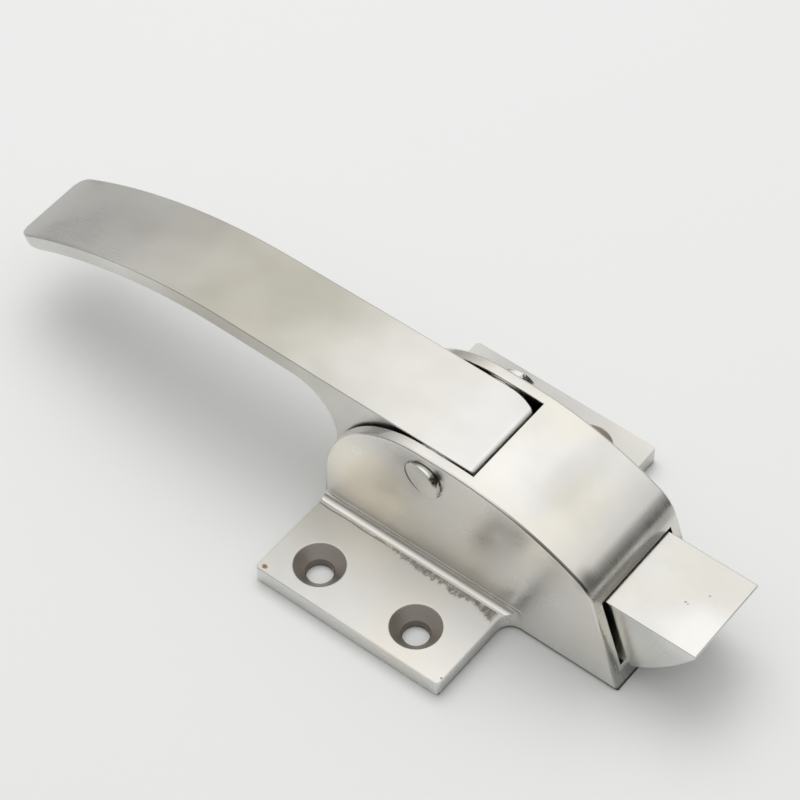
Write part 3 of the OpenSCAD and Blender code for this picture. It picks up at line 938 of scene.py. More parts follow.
@dataclass(frozen=True)
class Cut:
    """A plane through the holes of flat faces, so that each half clears to one face.

    Attributes:
        place: A point of the plane, in millimetres.
        normal: The plane's normal.
        facing: The way the flat faces look.
        aligned: Least cosine between a flat face's normal and that way.
        snap: Reach within which a corner lies on the plane, in millimetres.
    """

    place: Point
    normal: Point
    facing: Point
    aligned: float = 0.9
    snap: float = 0.004

    def split(self, bm: bmesh.types.BMesh) -> None:
        """Splits the flat faces and keeps the line as a seam.

        Args:
            bm: The mesh to split.
        """
        flat = [f for f in bm.faces if abs(f.normal.dot(Vector(self.facing))) > self.aligned]
        edges = list({e for f in flat for e in f.edges})
        verts = list({v for f in flat for v in f.verts})
        cut = bmesh.ops.bisect_plane(bm, geom=flat + edges + verts, dist=self.snap * MM,
                                     plane_co=Vector(self.place) * MM, plane_no=self.normal)
        for part in cut["geom_cut"]:
            if isinstance(part, bmesh.types.BMEdge):
                part.seam = True


@dataclass
class CastPiece:
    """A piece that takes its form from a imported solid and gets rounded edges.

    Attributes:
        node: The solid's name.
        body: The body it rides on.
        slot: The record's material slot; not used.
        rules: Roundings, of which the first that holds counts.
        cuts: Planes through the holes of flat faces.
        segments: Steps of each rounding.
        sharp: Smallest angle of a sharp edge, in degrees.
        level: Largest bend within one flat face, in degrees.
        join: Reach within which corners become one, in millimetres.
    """

    node: str
    body: Body
    slot: Slot
    rules: tuple[EdgeRule, ...] = ()
    cuts: tuple[Cut, ...] = ()
    segments: int = 3
    sharp: float = 24.0
    level: float = 0.3
    join: float = 0.0015

    def finishes(self) -> list[bpy.types.Material]:
        """Returns the piece's materials, the main one first."""
        raise NotImplementedError

    def shape(self, bm: bmesh.types.BMesh) -> None:
        """Adds this piece's own details to its mesh."""

    def weld(self, nodes: dict[str, bpy.types.Object]) -> bmesh.types.BMesh:
        """Copies the solid's mesh, joins its triangles and clears the flat faces.

        Args:
            nodes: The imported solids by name.

        Returns:
            The joined mesh.
        """
        bm = bmesh.new()
        bm.from_mesh(nodes[self.node].data)
        bmesh.ops.remove_doubles(bm, verts=bm.verts[:], dist=self.join * MM)
        for cut in self.cuts:
            cut.split(bm)
        bmesh.ops.dissolve_limit(bm, angle_limit=math.radians(self.level), verts=bm.verts[:],
                                 edges=bm.edges[:], use_dissolve_boundaries=False, delimit={"SEAM"})
        return bm

    def mark(self, bm: bmesh.types.BMesh) -> float:
        """Weighs the edges to be rounded and sets which ones shade as sharp.

        Args:
            bm: The mesh.

        Returns:
            The largest radius used, in millimetres.
        """
        widest = max([rule.radius for rule in self.rules] + [0.01])
        layers = bm.edges.layers.float
        weight = layers.get("bevel_weight_edge") or layers.new("bevel_weight_edge")
        for edge in bm.edges:
            if len(edge.link_faces) != 2:
                continue
            angle = edge.calc_face_angle_signed(0.0)
            middle = (edge.verts[0].co + edge.verts[1].co) / (2 * MM)
            if abs(angle) < math.radians(self.sharp):
                continue
            edge.smooth = False
            rule = next((r for r in self.rules if r.holds(middle)), None)
            if rule is not None and rule.radius > 0 and angle > 0:
                edge[weight] = rule.radius / widest
                edge.smooth = True
        return widest

    def make(self, nodes: dict[str, bpy.types.Object]) -> bpy.types.Object:
        """Builds the dressed piece.

        Args:
            nodes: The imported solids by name.

        Returns:
            The piece.
        """
        bm = self.weld(nodes)
        self.shape(bm)
        widest = self.mark(bm)
        for face in bm.faces:
            face.smooth = True
        mesh = bpy.data.meshes.new(f"{self.node}_dressed")
        bm.to_mesh(mesh)
        bm.free()
        for material in self.finishes():
            mesh.materials.append(material)
        obj = bpy.data.objects.new(f"{self.node}_dressed", mesh)
        bpy.context.scene.collection.objects.link(obj)
        if self.rules:
            bevel = obj.modifiers.new("rounded_edges", "BEVEL")
            bevel.limit_method = "WEIGHT"
            bevel.width = widest * MM
            bevel.segments = self.segments
            bevel.profile = ROUND_PROFILE
            bevel.material = -1
            bevel.use_clamp_overlap = False
        even = obj.modifiers.new("even_shading", "WEIGHTED_NORMAL")
        even.keep_sharp = True
        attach(obj, self.body.value)
        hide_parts(self.node)
        LOG.info("%s: %d faces before rounding", obj.name, len(mesh.polygons))
        return obj


@dataclass
class Housing(CastPiece):
    """The casting with its two flanges, hollow hump and four countersunk holes.

    Attributes:
        hole_x: Distance of the holes from the middle, along the latch.
        hole_y: Their distance from the middle, across it.
        bore_reach: Radius round each hole that is turned.
        flat: Least upward share of a flat face's normal, which stays polished.
    """

    node: str = "housing"
    body: Body = Body.BASE
    slot: Slot = Slot.HOUSING
    hole_x: float = 14.0
    hole_y: float = 33.0
    bore_reach: float = 6.5
    flat: float = 0.95
    cuts: tuple[Cut, ...] = (
        Cut((-14.0, 0.0, 0.0), (1.0, 0.0, 0.0), (0.0, 0.0, 1.0)),
        Cut((14.0, 0.0, 0.0), (1.0, 0.0, 0.0), (0.0, 0.0, 1.0)),
        Cut((2.8, 0.0, 0.0), (1.0, 0.0, 0.0), (0.0, 1.0, 0.0)),
    )
    rules: tuple[EdgeRule, ...] = (
        EdgeRule(0.0, (-3.6, 14.0, 27.0), (9.2, 20.0, 40.2)),
        EdgeRule(0.2, (-22.0, 26.0, 4.8), (22.0, 40.0, 5.2)),
        EdgeRule(0.0, (-22.0, 26.0, -1.0), (22.0, 40.0, 4.8)),
        EdgeRule(0.0, (27.6, 16.0, 5.05), (33.0, 18.6, 7.3)),
        EdgeRule(0.0, (-25.6, 16.0, 5.05), (-25.4, 18.6, 7.0)),
        EdgeRule(0.0, (-25.4, 16.3, 6.9), (27.6, 16.6, 7.1)),
        EdgeRule(0.35, (-26.0, 16.0, 4.8), (33.0, 43.0, 7.2)),
        EdgeRule(0.6, (-26.0, 14.8, -1.0), (60.0, 43.0, 0.2)),
        EdgeRule(0.6, (-26.0, 15.5, 5.0), (60.0, 17.0, 45.0)),
        EdgeRule(0.25, (-26.0, 12.9, 17.0), (15.0, 13.1, 45.0)),
        EdgeRule(0.25, (14.0, 0.0, 36.0), (14.8, 13.1, 45.0)),
        EdgeRule(0.12, (50.0, 0.0, 4.0), (60.0, 13.4, 26.0)),
    )

    def finishes(self) -> list[bpy.types.Material]:
        """Returns the casting's polish, with painted light and painted shade in places, and the turned
        countersinks.
        """
        rust = Spot((-23.6, -41.2, 5.0), 0.8, (0.42, 0.27, 0.12))
        speck = Spot((27.0, -40.6, 4.9), 0.35, (0.36, 0.28, 0.2))
        tone_and_shading_patches = (ToneAndShadingPatch((30.2, 3.0, 37.5), (6.0, 24.0, 9.0), (0.925, 0.93, 0.935), 0.04),
                  # Painted shade on the far flange.
                  ToneAndShadingPatch((9.0, 33.0, 5.2), (48.0, 30.0, 3.6), (0.71, 0.72, 0.725)),
                  # Painted shade on the brow, above the bolt's window and at the brow's far end.
                  ToneAndShadingPatch((46.6, -14.0, 30.3), (4.2, 4.4, 4.6), (0.52, 0.52, 0.52)),
                  ToneAndShadingPatch((50.6, 0.0, 24.4), (3.0, 18.0, 2.2), (0.72, 0.71, 0.69)),
                  ToneAndShadingPatch((49.6, 11.0, 27.2), (3.0, 10.0, 3.0), (0.6, 0.6, 0.6)),
                  # Painted warm light on the near cheek.
                  ToneAndShadingPatch((-13.0, -16.2, 20.0), (19.0, 6.0, 17.0), (1.31, 1.255, 1.14)),
                  ToneAndShadingPatch((36.0, -4.0, 36.0), (9.0, 14.0, 9.0), (1.0, 0.98, 0.92)),
                  ToneAndShadingPatch((17.0, -6.0, 41.0), (7.0, 12.0, 6.0), (1.06, 1.06, 1.06), -0.04))
        polish = GroundSteel("cast_polish", spots=(rust, speck), tone_and_shading_patches=tone_and_shading_patches)
        bored = BoredSteel("bored_steel", tint=(0.48, 0.445, 0.41), warm=(0.45, 0.41, 0.37),
                           rough=0.42, rough_swing=0.06)
        return [polish.material(), bored.material()]

    def shape(self, bm: bmesh.types.BMesh) -> None:
        """Gives the faces inside the mounting holes their turned finish.

        Args:
            bm: The casting's mesh.
        """
        for face in bm.faces:
            middle = face.calc_center_median() / MM
            away = math.hypot(abs(middle.x) - self.hole_x, abs(middle.y) - self.hole_y)
            if away < self.bore_reach and abs(face.normal.z) < self.flat:
                face.material_index = 1


@dataclass
class Handle(CastPiece):
    """The lever: a hub with two prongs, and a bent blade swept back to its thin tail.

    Attributes:
        join_x: Where the blade leaves the hub.
        top: Height of the blade's top.
        thick: Thickness of the blade.
        bend_x: Where the blade starts to bend.
        bend_r: Radius of the bend, top face.
        tail_x: Reach of the tail.
        kink_x: Where the blade starts to taper.
        hub_w: Width at the hub.
        tail_w: Width at the tail.
        tail_round: Radius of the curl under the tail.
        corner: Radius of the tail corners seen from above.
        edge: Rounding of the long edges.
        thinning: Share of its thickness that the blade loses towards the tail.
        rest_y: How far the hub rests to the far side, within its side play.
        bend_steps: Sections along the bend.
        curl_steps: Sections along the curl.
        curl_l: Length of the closely stepped curl.
        least: Least share of the thickness that is left at the tail.
    """

    node: str = "lever_handle"
    body: Body = Body.HANDLE
    slot: Slot = Slot.HANDLE
    segments: int = 4
    level: float = 0.5
    join_x: float = -45.0
    top: float = 40.6
    thick: float = 4.5
    bend_x: float = -58.0
    bend_r: float = 138.0
    tail_x: float = -124.4
    kink_x: float = -25.5
    hub_w: float = 24.8
    tail_w: float = 23.6
    tail_round: float = 6.0
    corner: float = 3.0
    edge: float = 0.4
    thinning: float = 0.13
    rest_y: float = 0.1
    bend_steps: int = 40
    curl_steps: int = 18
    curl_l: float = 7.0
    least: float = 0.1
    cuts: tuple[Cut, ...] = (Cut((2.8, 0.0, 0.0), (1.0, 0.0, 0.0), (0.0, 1.0, 0.0)),)
    rules: tuple[EdgeRule, ...] = (
        EdgeRule(0.0, (-3.0, 0.0, 27.0), (9.0, 20.0, 40.0)),
        EdgeRule(1.0, (12.9, -20.0, 40.0), (14.0, 20.0, 60.0), False),
        EdgeRule(0.4, (-44.9, 9.0, 36.0), (14.0, 20.0, 60.0)),
        EdgeRule(0.4, (-44.9, 11.0, 19.0), (-25.0, 20.0, 60.0)),
    )

    def finishes(self) -> list[bpy.types.Material]:
        """Returns the handle's long brushed satin, darker over the blade, with painted light on the nose and
        painted shade on the tail's near side.
        """
        # Darker over the blade behind the hub; a painted highlight on the nose; painted shade on the tail's
        # near side.
        blade_darkening = ToneAndShadingPatch((-57.0, 0.0, 40.0), (52.0, 60.0, 90.0), (0.70, 0.685, 0.63), 0.03)
        nose_highlight = ToneAndShadingPatch((12.0, -4.0, 41.0), (26.0, 30.0, 20.0), (1.07, 1.08, 1.11))
        painted_flank_shading = ToneAndShadingPatch((-106.0, -12.0, 28.0), (30.0, 1.6, 14.0), (0.84, 0.84, 0.84))
        return [Steel("handle_satin", warm=(0.75, 0.735, 0.70), rough=0.30, wave_size=16.0, wave_depth=0.05,
                      tone_and_shading_patches=(blade_darkening, nose_highlight, painted_flank_shading)).material()]

    def width_at(self, x: float) -> float:
        """Returns the blade's width at a place along the latch."""
        share = (self.kink_x - x) / (self.kink_x - self.tail_x + 1.0)
        return self.hub_w + (self.tail_w - self.hub_w) * share

    def end_angle(self) -> float:
        """Returns the angle of the tail's end behind upright, in radians."""
        return math.asin((self.bend_x - self.tail_x) / self.bend_r)

    def stations(self) -> list[float]:
        """Returns the angles of the sections, closer together along the curl."""
        end, curl = self.end_angle(), self.curl_l / self.bend_r
        bend = [i / self.bend_steps * (end - curl) for i in range(self.bend_steps + 1)]
        quarter = [i / self.curl_steps * math.pi / 2 for i in range(1, self.curl_steps + 1)]
        return bend + [end - curl * math.cos(turn) for turn in quarter]

    def section(self, angle: float) -> Matrix:
        """Places the blade's section at an angle round the bend.

        Args:
            angle: Angle behind upright, in radians.

        Returns:
            The matrix from the section at the join, its top at the origin.
        """
        x = self.bend_x - self.bend_r * math.sin(angle)
        z = self.top - self.bend_r * (1.0 - math.cos(angle))
        wide = self.width_at(x)
        end = self.end_angle()
        lift = self.tail_round - self.thick
        curl = math.asin(math.sqrt(self.tail_round ** 2 - lift ** 2) / self.bend_r)
        past = (self.bend_r + lift) * max(0.0, angle - end + curl)
        deep = math.sqrt(max(0.0, self.tail_round ** 2 - past ** 2)) - lift
        deep *= 1.0 - self.thinning * angle / end
        left = self.corner - (x - self.tail_x)
        if left > 0:
            wide -= 2 * (self.corner - math.sqrt(max(0.0, self.corner ** 2 - left ** 2)))
        size = Matrix.Diagonal((1.0, wide / self.width_at(self.join_x),
                                max(self.least, deep / self.thick), 1.0))
        return Matrix.Translation((x * MM, 0.0, z * MM)) @ Matrix.Rotation(-angle, 4, "Y") @ size

    def first_ring(self, bm: bmesh.types.BMesh, hub: set[bmesh.types.BMFace],
                   start: Matrix) -> list[bmesh.types.BMEdge]:
        """Lays the blade's rounded section where it leaves the hub.

        Args:
            bm: The handle's mesh.
            hub: The hub's faces.
            start: The section's place.

        Returns:
            The section's edges, open in the middle.
        """
        grid = bmesh.ops.create_grid(bm, x_segments=1, y_segments=1, size=0.5)["verts"]
        wide = self.width_at(self.join_x)
        stand = Matrix.Translation((0.0, 0.0, -self.thick * MM / 2)) @ Matrix.Rotation(math.pi / 2, 4, "Y")
        size = Matrix.Diagonal((self.thick * MM, wide * MM, 1.0, 1.0))
        bmesh.ops.transform(bm, verts=grid, matrix=stand @ size)
        bmesh.ops.bevel(bm, geom=grid, offset=self.edge * MM, offset_type="OFFSET", segments=self.segments,
                        profile=ROUND_PROFILE, affect="VERTICES", clamp_overlap=False, material=-1)
        front = next(f for f in bm.faces if f not in hub)
        bmesh.ops.transform(bm, verts=front.verts[:], matrix=start)
        ring = front.edges[:]
        bmesh.ops.delete(bm, geom=[front], context="FACES_ONLY")
        return ring

    def shape(self, bm: bmesh.types.BMesh) -> None:
        """Keeps the hub and sweeps a blade with rounded edges behind it.

        Args:
            bm: The handle's mesh.
        """
        bmesh.ops.bisect_plane(bm, geom=bm.verts[:] + bm.edges[:] + bm.faces[:], dist=ON_PLANE,
                               plane_co=(self.join_x * MM, 0.0, 0.0), plane_no=(1.0, 0.0, 0.0),
                               clear_inner=True)
        bmesh.ops.holes_fill(bm, edges=[e for e in bm.edges if e.is_boundary])
        hub = set(bm.faces)
        last = Matrix.Translation((self.join_x * MM, 0.0, self.top * MM))
        ring = self.first_ring(bm, hub, last)
        for angle in self.stations():
            grown = bmesh.ops.extrude_edge_only(bm, edges=ring)["geom"]
            ring = [g for g in grown if isinstance(g, bmesh.types.BMEdge)]
            place = self.section(angle)
            bmesh.ops.transform(bm, verts=[g for g in grown if isinstance(g, bmesh.types.BMVert)],
                                matrix=place @ last.inverted())
            last = place
        bmesh.ops.holes_fill(bm, edges=[e for e in bm.edges if e.is_boundary])
        bmesh.ops.recalc_face_normals(bm, faces=[f for f in bm.faces if f not in hub])
        bmesh.ops.translate(bm, verts=bm.verts[:], vec=(0.0, self.rest_y * MM, 0.0))


@dataclass
class Bolt(CastPiece):
    """The sprung bolt with its ramp.

    Attributes:
        off_y: How far its flanks lie to the far side of its bores.
        flank_y: Half width outside which the flanks lie.
    """

    node: str = "latch_bolt"
    body: Body = Body.BOLT
    slot: Slot = Slot.BOLT
    off_y: float = 0.3
    flank_y: float = 9.0
    cuts: tuple[Cut, ...] = (
        Cut((0.0, 0.0, 0.0), (0.0, 1.0, 0.0), (1.0, 0.0, 0.0)),
        Cut((0.0, 0.0, 0.0), (0.0, 1.0, 0.0), (0.0, 0.0, 1.0)),
    )
    rules: tuple[EdgeRule, ...] = (
        EdgeRule(0.0, (36.0, 0.0, 6.0), (37.5, 10.0, 22.0)),
        EdgeRule(0.0, (48.0, 0.0, 8.5), (62.0, 7.0, 21.0)),
        EdgeRule(0.3, (36.0, 0.0, 0.0), (80.0, 20.0, 30.0)),
    )

    def shape(self, bm: bmesh.types.BMesh) -> None:
        """Sets the ground flanks a little off the middle, as the bolt stands in its window.

        Args:
            bm: The bolt's mesh.
        """
        flanks = [v for v in bm.verts if abs(v.co.y) > self.flank_y * MM]
        bmesh.ops.translate(bm, verts=flanks, vec=(0.0, self.off_y * MM, 0.0))

    def finishes(self) -> list[bpy.types.Material]:
        """Returns the bolt's fine polish with three small pits, and painted light on its near flank and on
        the front of its top.
        """
        pits = (Spot((64.6, -1.1, 23.2), 0.38, (0.50, 0.49, 0.47)),
                Spot((65.3, -1.3, 23.2), 0.25, (0.48, 0.47, 0.45)),
                Spot((67.9, 3.5, 23.2), 0.30, (0.46, 0.45, 0.44)))
        # Painted light on the near flank and on the front of the top.
        painted_flank_shading = ToneAndShadingPatch((57.5, -12.0, 13.0), (8.5, 1.6, 10.0), (1.2, 1.2, 1.19))
        front = ToneAndShadingPatch((74.0, -9.0, 23.2), (15.0, 14.0, 5.0), (1.13, 1.13, 1.13))
        return [Steel("bolt_polish", tint=(0.715, 0.71, 0.69), warm=(0.705, 0.69, 0.645), rough=0.24,
                      grain=Grain.ACROSS, grain_depth=0.0005, wave_size=11.0, wave_depth=0.03,
                      spots=pits, tone_and_shading_patches=(painted_flank_shading, front)).material()]


@dataclass(frozen=True)
class PinEnd:
    """A pin head that was driven in and ground at a slant.

    Attributes:
        wall_y: Where its straight wall is opened, in millimetres.
        grow: How far the wall is drawn out before the grinding.
        face_at: A point of the ground face.
        facing: The way the ground face looks.
        join: Reach within which corners of the ground face's rim become one.
    """

    wall_y: float
    grow: float
    face_at: Point
    facing: Point
    join: float = 0.25

    def grind(self, bm: bmesh.types.BMesh) -> None:
        """Opens the head, draws its wall out and closes it with the ground face.

        Args:
            bm: The pin's mesh.
        """
        self.cut_off(bm, (0.0, self.wall_y, 0.0), (0.0, math.copysign(1.0, self.wall_y), 0.0))
        grown = bmesh.ops.extrude_edge_only(bm, edges=[e for e in bm.edges if e.is_boundary])["geom"]
        bmesh.ops.translate(bm, vec=(0.0, self.grow * MM, 0.0),
                            verts=[g for g in grown if isinstance(g, bmesh.types.BMVert)])
        self.cut_off(bm, self.face_at, self.facing)
        rim = list({v for e in bm.edges if e.is_boundary for v in e.verts})
        bmesh.ops.remove_doubles(bm, verts=rim, dist=self.join * MM)
        bmesh.ops.holes_fill(bm, edges=[e for e in bm.edges if e.is_boundary])
        bmesh.ops.recalc_face_normals(bm, faces=bm.faces[:])

    def cut_off(self, bm: bmesh.types.BMesh, place: Point, facing: Point) -> None:
        """Cuts the pin at a plane and drops what lies beyond it.

        Args:
            bm: The pin's mesh.
            place: A point of the plane, in millimetres.
            facing: The plane's normal, away from the pin.
        """
        bmesh.ops.bisect_plane(bm, geom=bm.verts[:] + bm.edges[:] + bm.faces[:], dist=ON_PLANE,
                               plane_co=Vector(place) * MM, plane_no=facing, clear_outer=True)


@dataclass
class Pin(CastPiece):
    """The pivot pin with its two ground heads.

    Attributes:
        near: The head on the camera's side.
        far: The longer head on the other side.
    """

    node: str = "pivot_pin"
    body: Body = Body.BASE
    slot: Slot = Slot.TURNED
    near: PinEnd = PinEnd(-16.6, -2.0, (2.8, -16.95, 33.6), (-0.15, -1.0, -0.09))
    far: PinEnd = PinEnd(17.0, 3.4, (2.8, 18.3, 33.6), (-0.28, 1.0, -0.05))
    rules: tuple[EdgeRule, ...] = (EdgeRule(0.12, (-3.0, 14.0, 28.0), (9.0, 25.0, 40.0)),)

    def shape(self, bm: bmesh.types.BMesh) -> None:
        """Grinds both heads at a slight slant.

        Args:
            bm: The pin's mesh.
        """
        for end in (self.near, self.far):
            end.grind(bm)

    def finishes(self) -> list[bpy.types.Material]:
        """Returns the turned pin's finish, with dark crescents of painted shade at both heads and a small
        speck.
        """
        # The two dark crescents at the heads are painted shade; the small grey one is a speck.
        painted_shade_and_speck = (Spot((6.6, 18.6, 38.5), 2.6, (0.09, 0.085, 0.075), 0.5),
                Spot((7.4, -17.0, 37.5), 2.4, (0.09, 0.085, 0.075), 0.5),
                Spot((1.6, -16.8, 31.6), 0.35, (0.36, 0.35, 0.33)))
        return [Steel("pin_turned", spots=painted_shade_and_speck, tint=(0.74, 0.735, 0.72), warm=(0.72, 0.70, 0.66), rough=0.22,
                      rough_swing=0.07, grain=Grain.ROUND, wave_size=4.0, wave_depth=0.05).material()]


@dataclass
class Cover(CastPiece):
    """The plate let into the underside."""

    node: str = "base_cover"
    body: Body = Body.BASE
    slot: Slot = Slot.COVER
    cuts: tuple[Cut, ...] = (
        Cut((17.637, 0.0, 0.0), (1.0, 0.0, 0.0), (0.0, 0.0, 1.0)),
        Cut((-18.298, 0.0, 0.0), (1.0, 0.0, 0.0), (0.0, 0.0, 1.0)),
    )
    rules: tuple[EdgeRule, ...] = (
        EdgeRule(0.0, (-22.3, 6.5, 0.0), (-14.3, 14.5, 0.4)),
        EdgeRule(0.0, (13.5, 5.4, 0.0), (21.8, 13.6, 0.4)),
        EdgeRule(0.2, (-30.0, 0.0, 0.0), (60.0, 20.0, 0.4)),
    )

    def finishes(self) -> list[bpy.types.Material]:
        """Returns the rolled sheet's finish."""
        return [Steel("rolled_sheet", tint=(0.70, 0.70, 0.69), warm=(0.68, 0.67, 0.65), rough=0.34,
                      wave_depth=0.02).material()]


@dataclass
class Spring(CastPiece):
    """The coil spring round the stem, which shortens as the bolt is drawn back; the piece keeps its packed
    length.

    Attributes:
        seat_x: Where its fixed end sits, in millimetres; not used.
        free_l: Its length at rest; not used.
        travel: How far the bolt is drawn back; not used.
    """

    node: str = "bolt_spring"
    body: Body = Body.BASE
    slot: Slot = Slot.SPRING
    seat_x: float = 22.13
    free_l: float = 28.21
    travel: float = 13.6

    def finishes(self) -> list[bpy.types.Material]:
        """Returns the drawn wire's finish."""
        return [Plain("drawn_wire", (0.55, 0.55, 0.56), (0.42, 0.42, 0.43)).material()]

    def make(self, nodes: dict[str, bpy.types.Object]) -> bpy.types.Object:
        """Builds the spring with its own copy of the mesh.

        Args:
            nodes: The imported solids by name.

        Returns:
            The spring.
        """
        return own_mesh(super().make(nodes))


@dataclass
class InnerWorks:
    """The hidden pieces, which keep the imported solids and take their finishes.

    Attributes:
        turned: Nodes of turned steel.
        bronze: Nodes of bearing bronze.
        plastic: Nodes of plastic.
    """

    turned: tuple[str, ...] = ("bolt_stem", "stem_grub_screw", "drive_collar", "stem_nut", "stem_lock_nut",
                               "cover_screw_1", "cover_screw_2", "cover_screw_3", "cover_screw_4")
    bronze: tuple[str, ...] = ("pivot_bush_near", "pivot_bush_far", "stem_bush")
    plastic: tuple[str, ...] = ("pivot_washer_near", "pivot_washer_far")

    def dress(self, nodes: dict[str, bpy.types.Object]) -> None:
        """Gives every hidden solid its finish.

        Args:
            nodes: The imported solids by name.
        """
        steel = Plain("turned_steel", (0.66, 0.66, 0.65), (0.58, 0.57, 0.55))
        bronze = Plain("bush_bronze", (0.62, 0.44, 0.20), (0.48, 0.33, 0.16))
        acetal = Plain("pale_acetal", (0.80, 0.79, 0.74), (0.74, 0.73, 0.68), 0.0, 0.45)
        groups: tuple[tuple[Iterable[str], Slot, Plain], ...] = (
            (self.turned, Slot.TURNED, steel),
            (self.bronze, Slot.BRONZE, bronze),
            (self.plastic, Slot.WASHER, acetal),
        )
        for names, slot, finish in groups:
            material = finish.material()
            for name in names:
                nodes[name].data.materials.clear()
                nodes[name].data.materials.append(material)
                LOG.info("%s: packed solid, %s", name, material.name)


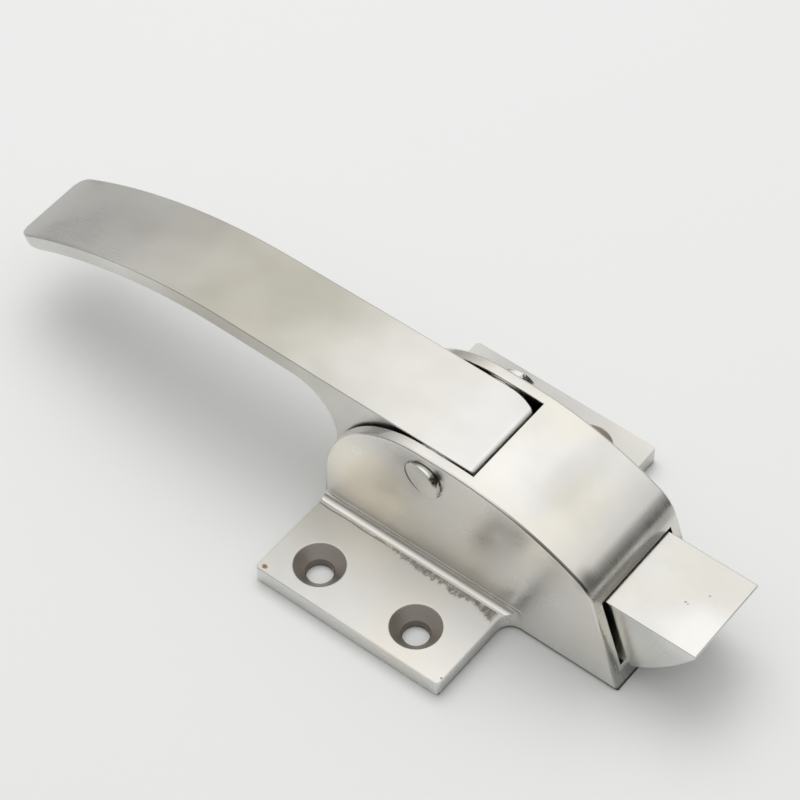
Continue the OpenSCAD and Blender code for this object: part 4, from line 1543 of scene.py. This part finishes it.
@dataclass
class Studio:
    """Floor, soft light and camera.

    Attributes:
        camera_at: Place of the camera, in millimetres.
        right: The picture's right in the part's frame.
        up: The picture's up in the part's frame.
        lens: Focal length, in millimetres.
        sensor: Width of the sensor, in millimetres.
        floor_tint: Colour of the floor.
        floor_light: How much lighter the floor's clouds are.
        floor_scale: Cycles of those clouds per metre.
        floor_rough: The floor's roughness.
        floor_gloss: The floor's gloss.
        floor_half: Half of the floor's side, in metres.
        floor_drop: How far the floor lies below the mounting face, in millimetres.
        lamp_at: Place of the overhead soft box, in metres.
        lamp_side: Side of the soft box, in metres.
        lamp_watts: Power of the soft box.
        stops: Brightness of the room by height, from eye level at 0 to overhead at 1.
        room_tint: Colour of the room.
        dim_side: How much darker the room is ahead of the bolt, at eye level.
        dim_near: How much darker the room is on the camera's side.
        fill: Share of the room's brightness that lights dull surfaces.
        mirror: Share of the room's brightness that polished surfaces show.
    """

    camera_at: Point = (264.4, -359.6, 603.7)
    right: Point = (0.7882, 0.6154, 0.0)
    up: Point = (-0.4813, 0.6164, 0.6232)
    lens: float = 144.0
    sensor: float = 36.0
    floor_tint: Colour = (0.848, 0.861, 0.862)
    floor_light: float = 1.015
    floor_scale: float = 6.0
    floor_rough: float = 0.9
    floor_gloss: float = 0.1
    floor_half: float = 4.0
    floor_drop: float = 0.05
    lamp_at: Point = (-0.30, 0.28, 0.92)
    lamp_side: float = 0.7
    lamp_watts: float = 2.8
    stops: tuple[tuple[float, float], ...] = ((0.0, 0.33), (0.10, 0.38), (0.25, 0.44), (0.45, 0.57),
                                              (0.60, 0.74), (0.78, 1.10), (1.0, 1.20))
    room_tint: Colour = (1.0, 0.995, 0.975)
    dim_side: float = 1.1
    dim_near: float = 0.55
    fill: float = 1.0
    mirror: float = 1.06

    def build(self) -> None:
        """Builds the whole studio."""
        self.floor()
        self.lamp()
        self.sky()
        self.camera()
        bpy.context.scene.view_settings.view_transform = "Standard"

    def floor(self) -> None:
        """Lays the pale floor."""
        bm = bmesh.new()
        bmesh.ops.create_grid(bm, x_segments=1, y_segments=1, size=self.floor_half)
        bmesh.ops.translate(bm, vec=(0.0, 0.0, -self.floor_drop * MM), verts=bm.verts[:])
        mesh = bpy.data.meshes.new("floor")
        bm.to_mesh(mesh)
        bm.free()
        graph = Graph("floor_card")
        cloud = graph.noise(graph.place, self.floor_scale)
        light = tuple(c * self.floor_light for c in self.floor_tint)
        graph.feed(graph.shader.inputs["Base Color"], graph.blend(cloud, self.floor_tint, light))
        graph.feed(graph.shader.inputs["Roughness"], self.floor_rough)
        graph.feed(graph.shader.inputs["Specular IOR Level"], self.floor_gloss)
        mesh.materials.append(graph.material)
        obj = bpy.data.objects.new("floor", mesh)
        bpy.context.scene.collection.objects.link(obj)

    def lamp(self) -> None:
        """Hangs the soft box over the latch."""
        light = bpy.data.lights.new("soft_box", "AREA")
        light.shape = "SQUARE"
        light.size = self.lamp_side
        light.energy = self.lamp_watts
        obj = bpy.data.objects.new("soft_box", light)
        obj.location = self.lamp_at
        obj.rotation_euler = Vector(self.lamp_at).to_track_quat("Z", "Y").to_euler()
        obj.visible_glossy = False
        bpy.context.scene.collection.objects.link(obj)

    def sky(self) -> None:
        """Shades the room by height, darker low down ahead of the bolt and on the camera's side."""
        world = bpy.data.worlds.new("room")
        world.use_nodes = True
        bpy.context.scene.world = world
        room = Tree(world.node_tree)
        nodes = room.tree.nodes
        fill = next(n for n in nodes if n.type == "BACKGROUND")
        output = next(n for n in nodes if n.type == "OUTPUT_WORLD")
        mirror = nodes.new("ShaderNodeBackground")
        coords = nodes.new("ShaderNodeTexCoord")
        split = nodes.new("ShaderNodeSeparateXYZ")
        ramp = nodes.new("ShaderNodeValToRGB")
        path = nodes.new("ShaderNodeLightPath").outputs
        choose = nodes.new("ShaderNodeMixShader")
        room.feed(split.inputs[0], coords.outputs["Generated"])
        x, y, z = split.outputs
        room.feed(ramp.inputs[0], z)
        while len(ramp.color_ramp.elements) < len(self.stops):
            ramp.color_ramp.elements.new(0.5)
        for element, (position, level) in zip(ramp.color_ramp.elements, self.stops):
            element.position = position
            element.color = (*(level * c for c in self.room_tint), 1.0)
        ahead = room.math("MAXIMUM", x, 0.0)
        near = room.math("MAXIMUM", room.product(y, -1.0), 0.0)
        side = room.product(room.rest_of(room.product(ahead, room.rest_of(z), self.dim_side)),
                            room.rest_of(room.product(near, self.dim_near)))
        shown = room.math("MAXIMUM", path["Is Camera Ray"],
                          room.math("MAXIMUM", path["Is Glossy Ray"], path["Is Transmission Ray"]))
        for node, share in ((fill, self.fill), (mirror, self.mirror)):
            room.feed(node.inputs["Color"], ramp.outputs[0])
            room.feed(node.inputs["Strength"], room.product(side, share))
        for socket, value in zip(choose.inputs, (shown, fill.outputs[0], mirror.outputs[0])):
            room.feed(socket, value)
        room.feed(output.inputs["Surface"], choose.outputs[0])

    def camera(self) -> None:
        """Sets the camera at the picture's viewing angle."""
        data = bpy.data.cameras.new("camera")
        data.lens = self.lens
        data.sensor_width = self.sensor
        data.clip_start = 0.01
        obj = bpy.data.objects.new("camera", data)
        right, up = Vector(self.right), Vector(self.up)
        turn = Matrix((right, up, right.cross(up))).transposed()
        obj.matrix_world = Matrix.Translation(Vector(self.camera_at) * MM) @ turn.to_4x4()
        bpy.context.scene.collection.objects.link(obj)
        bpy.context.scene.camera = obj


def main() -> None:
    """Builds the studio and dresses the latch piece by piece."""
    logging.basicConfig(level=logging.INFO, format="%(message)s")
    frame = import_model()
    nodes = frame["nodes"]
    Studio().build()
    for piece in (Housing(), Handle(), Bolt(), Pin(), Cover(), Spring()):
        piece.make(nodes)
    InnerWorks().dress(nodes)


if __name__ == "__main__":
    main()
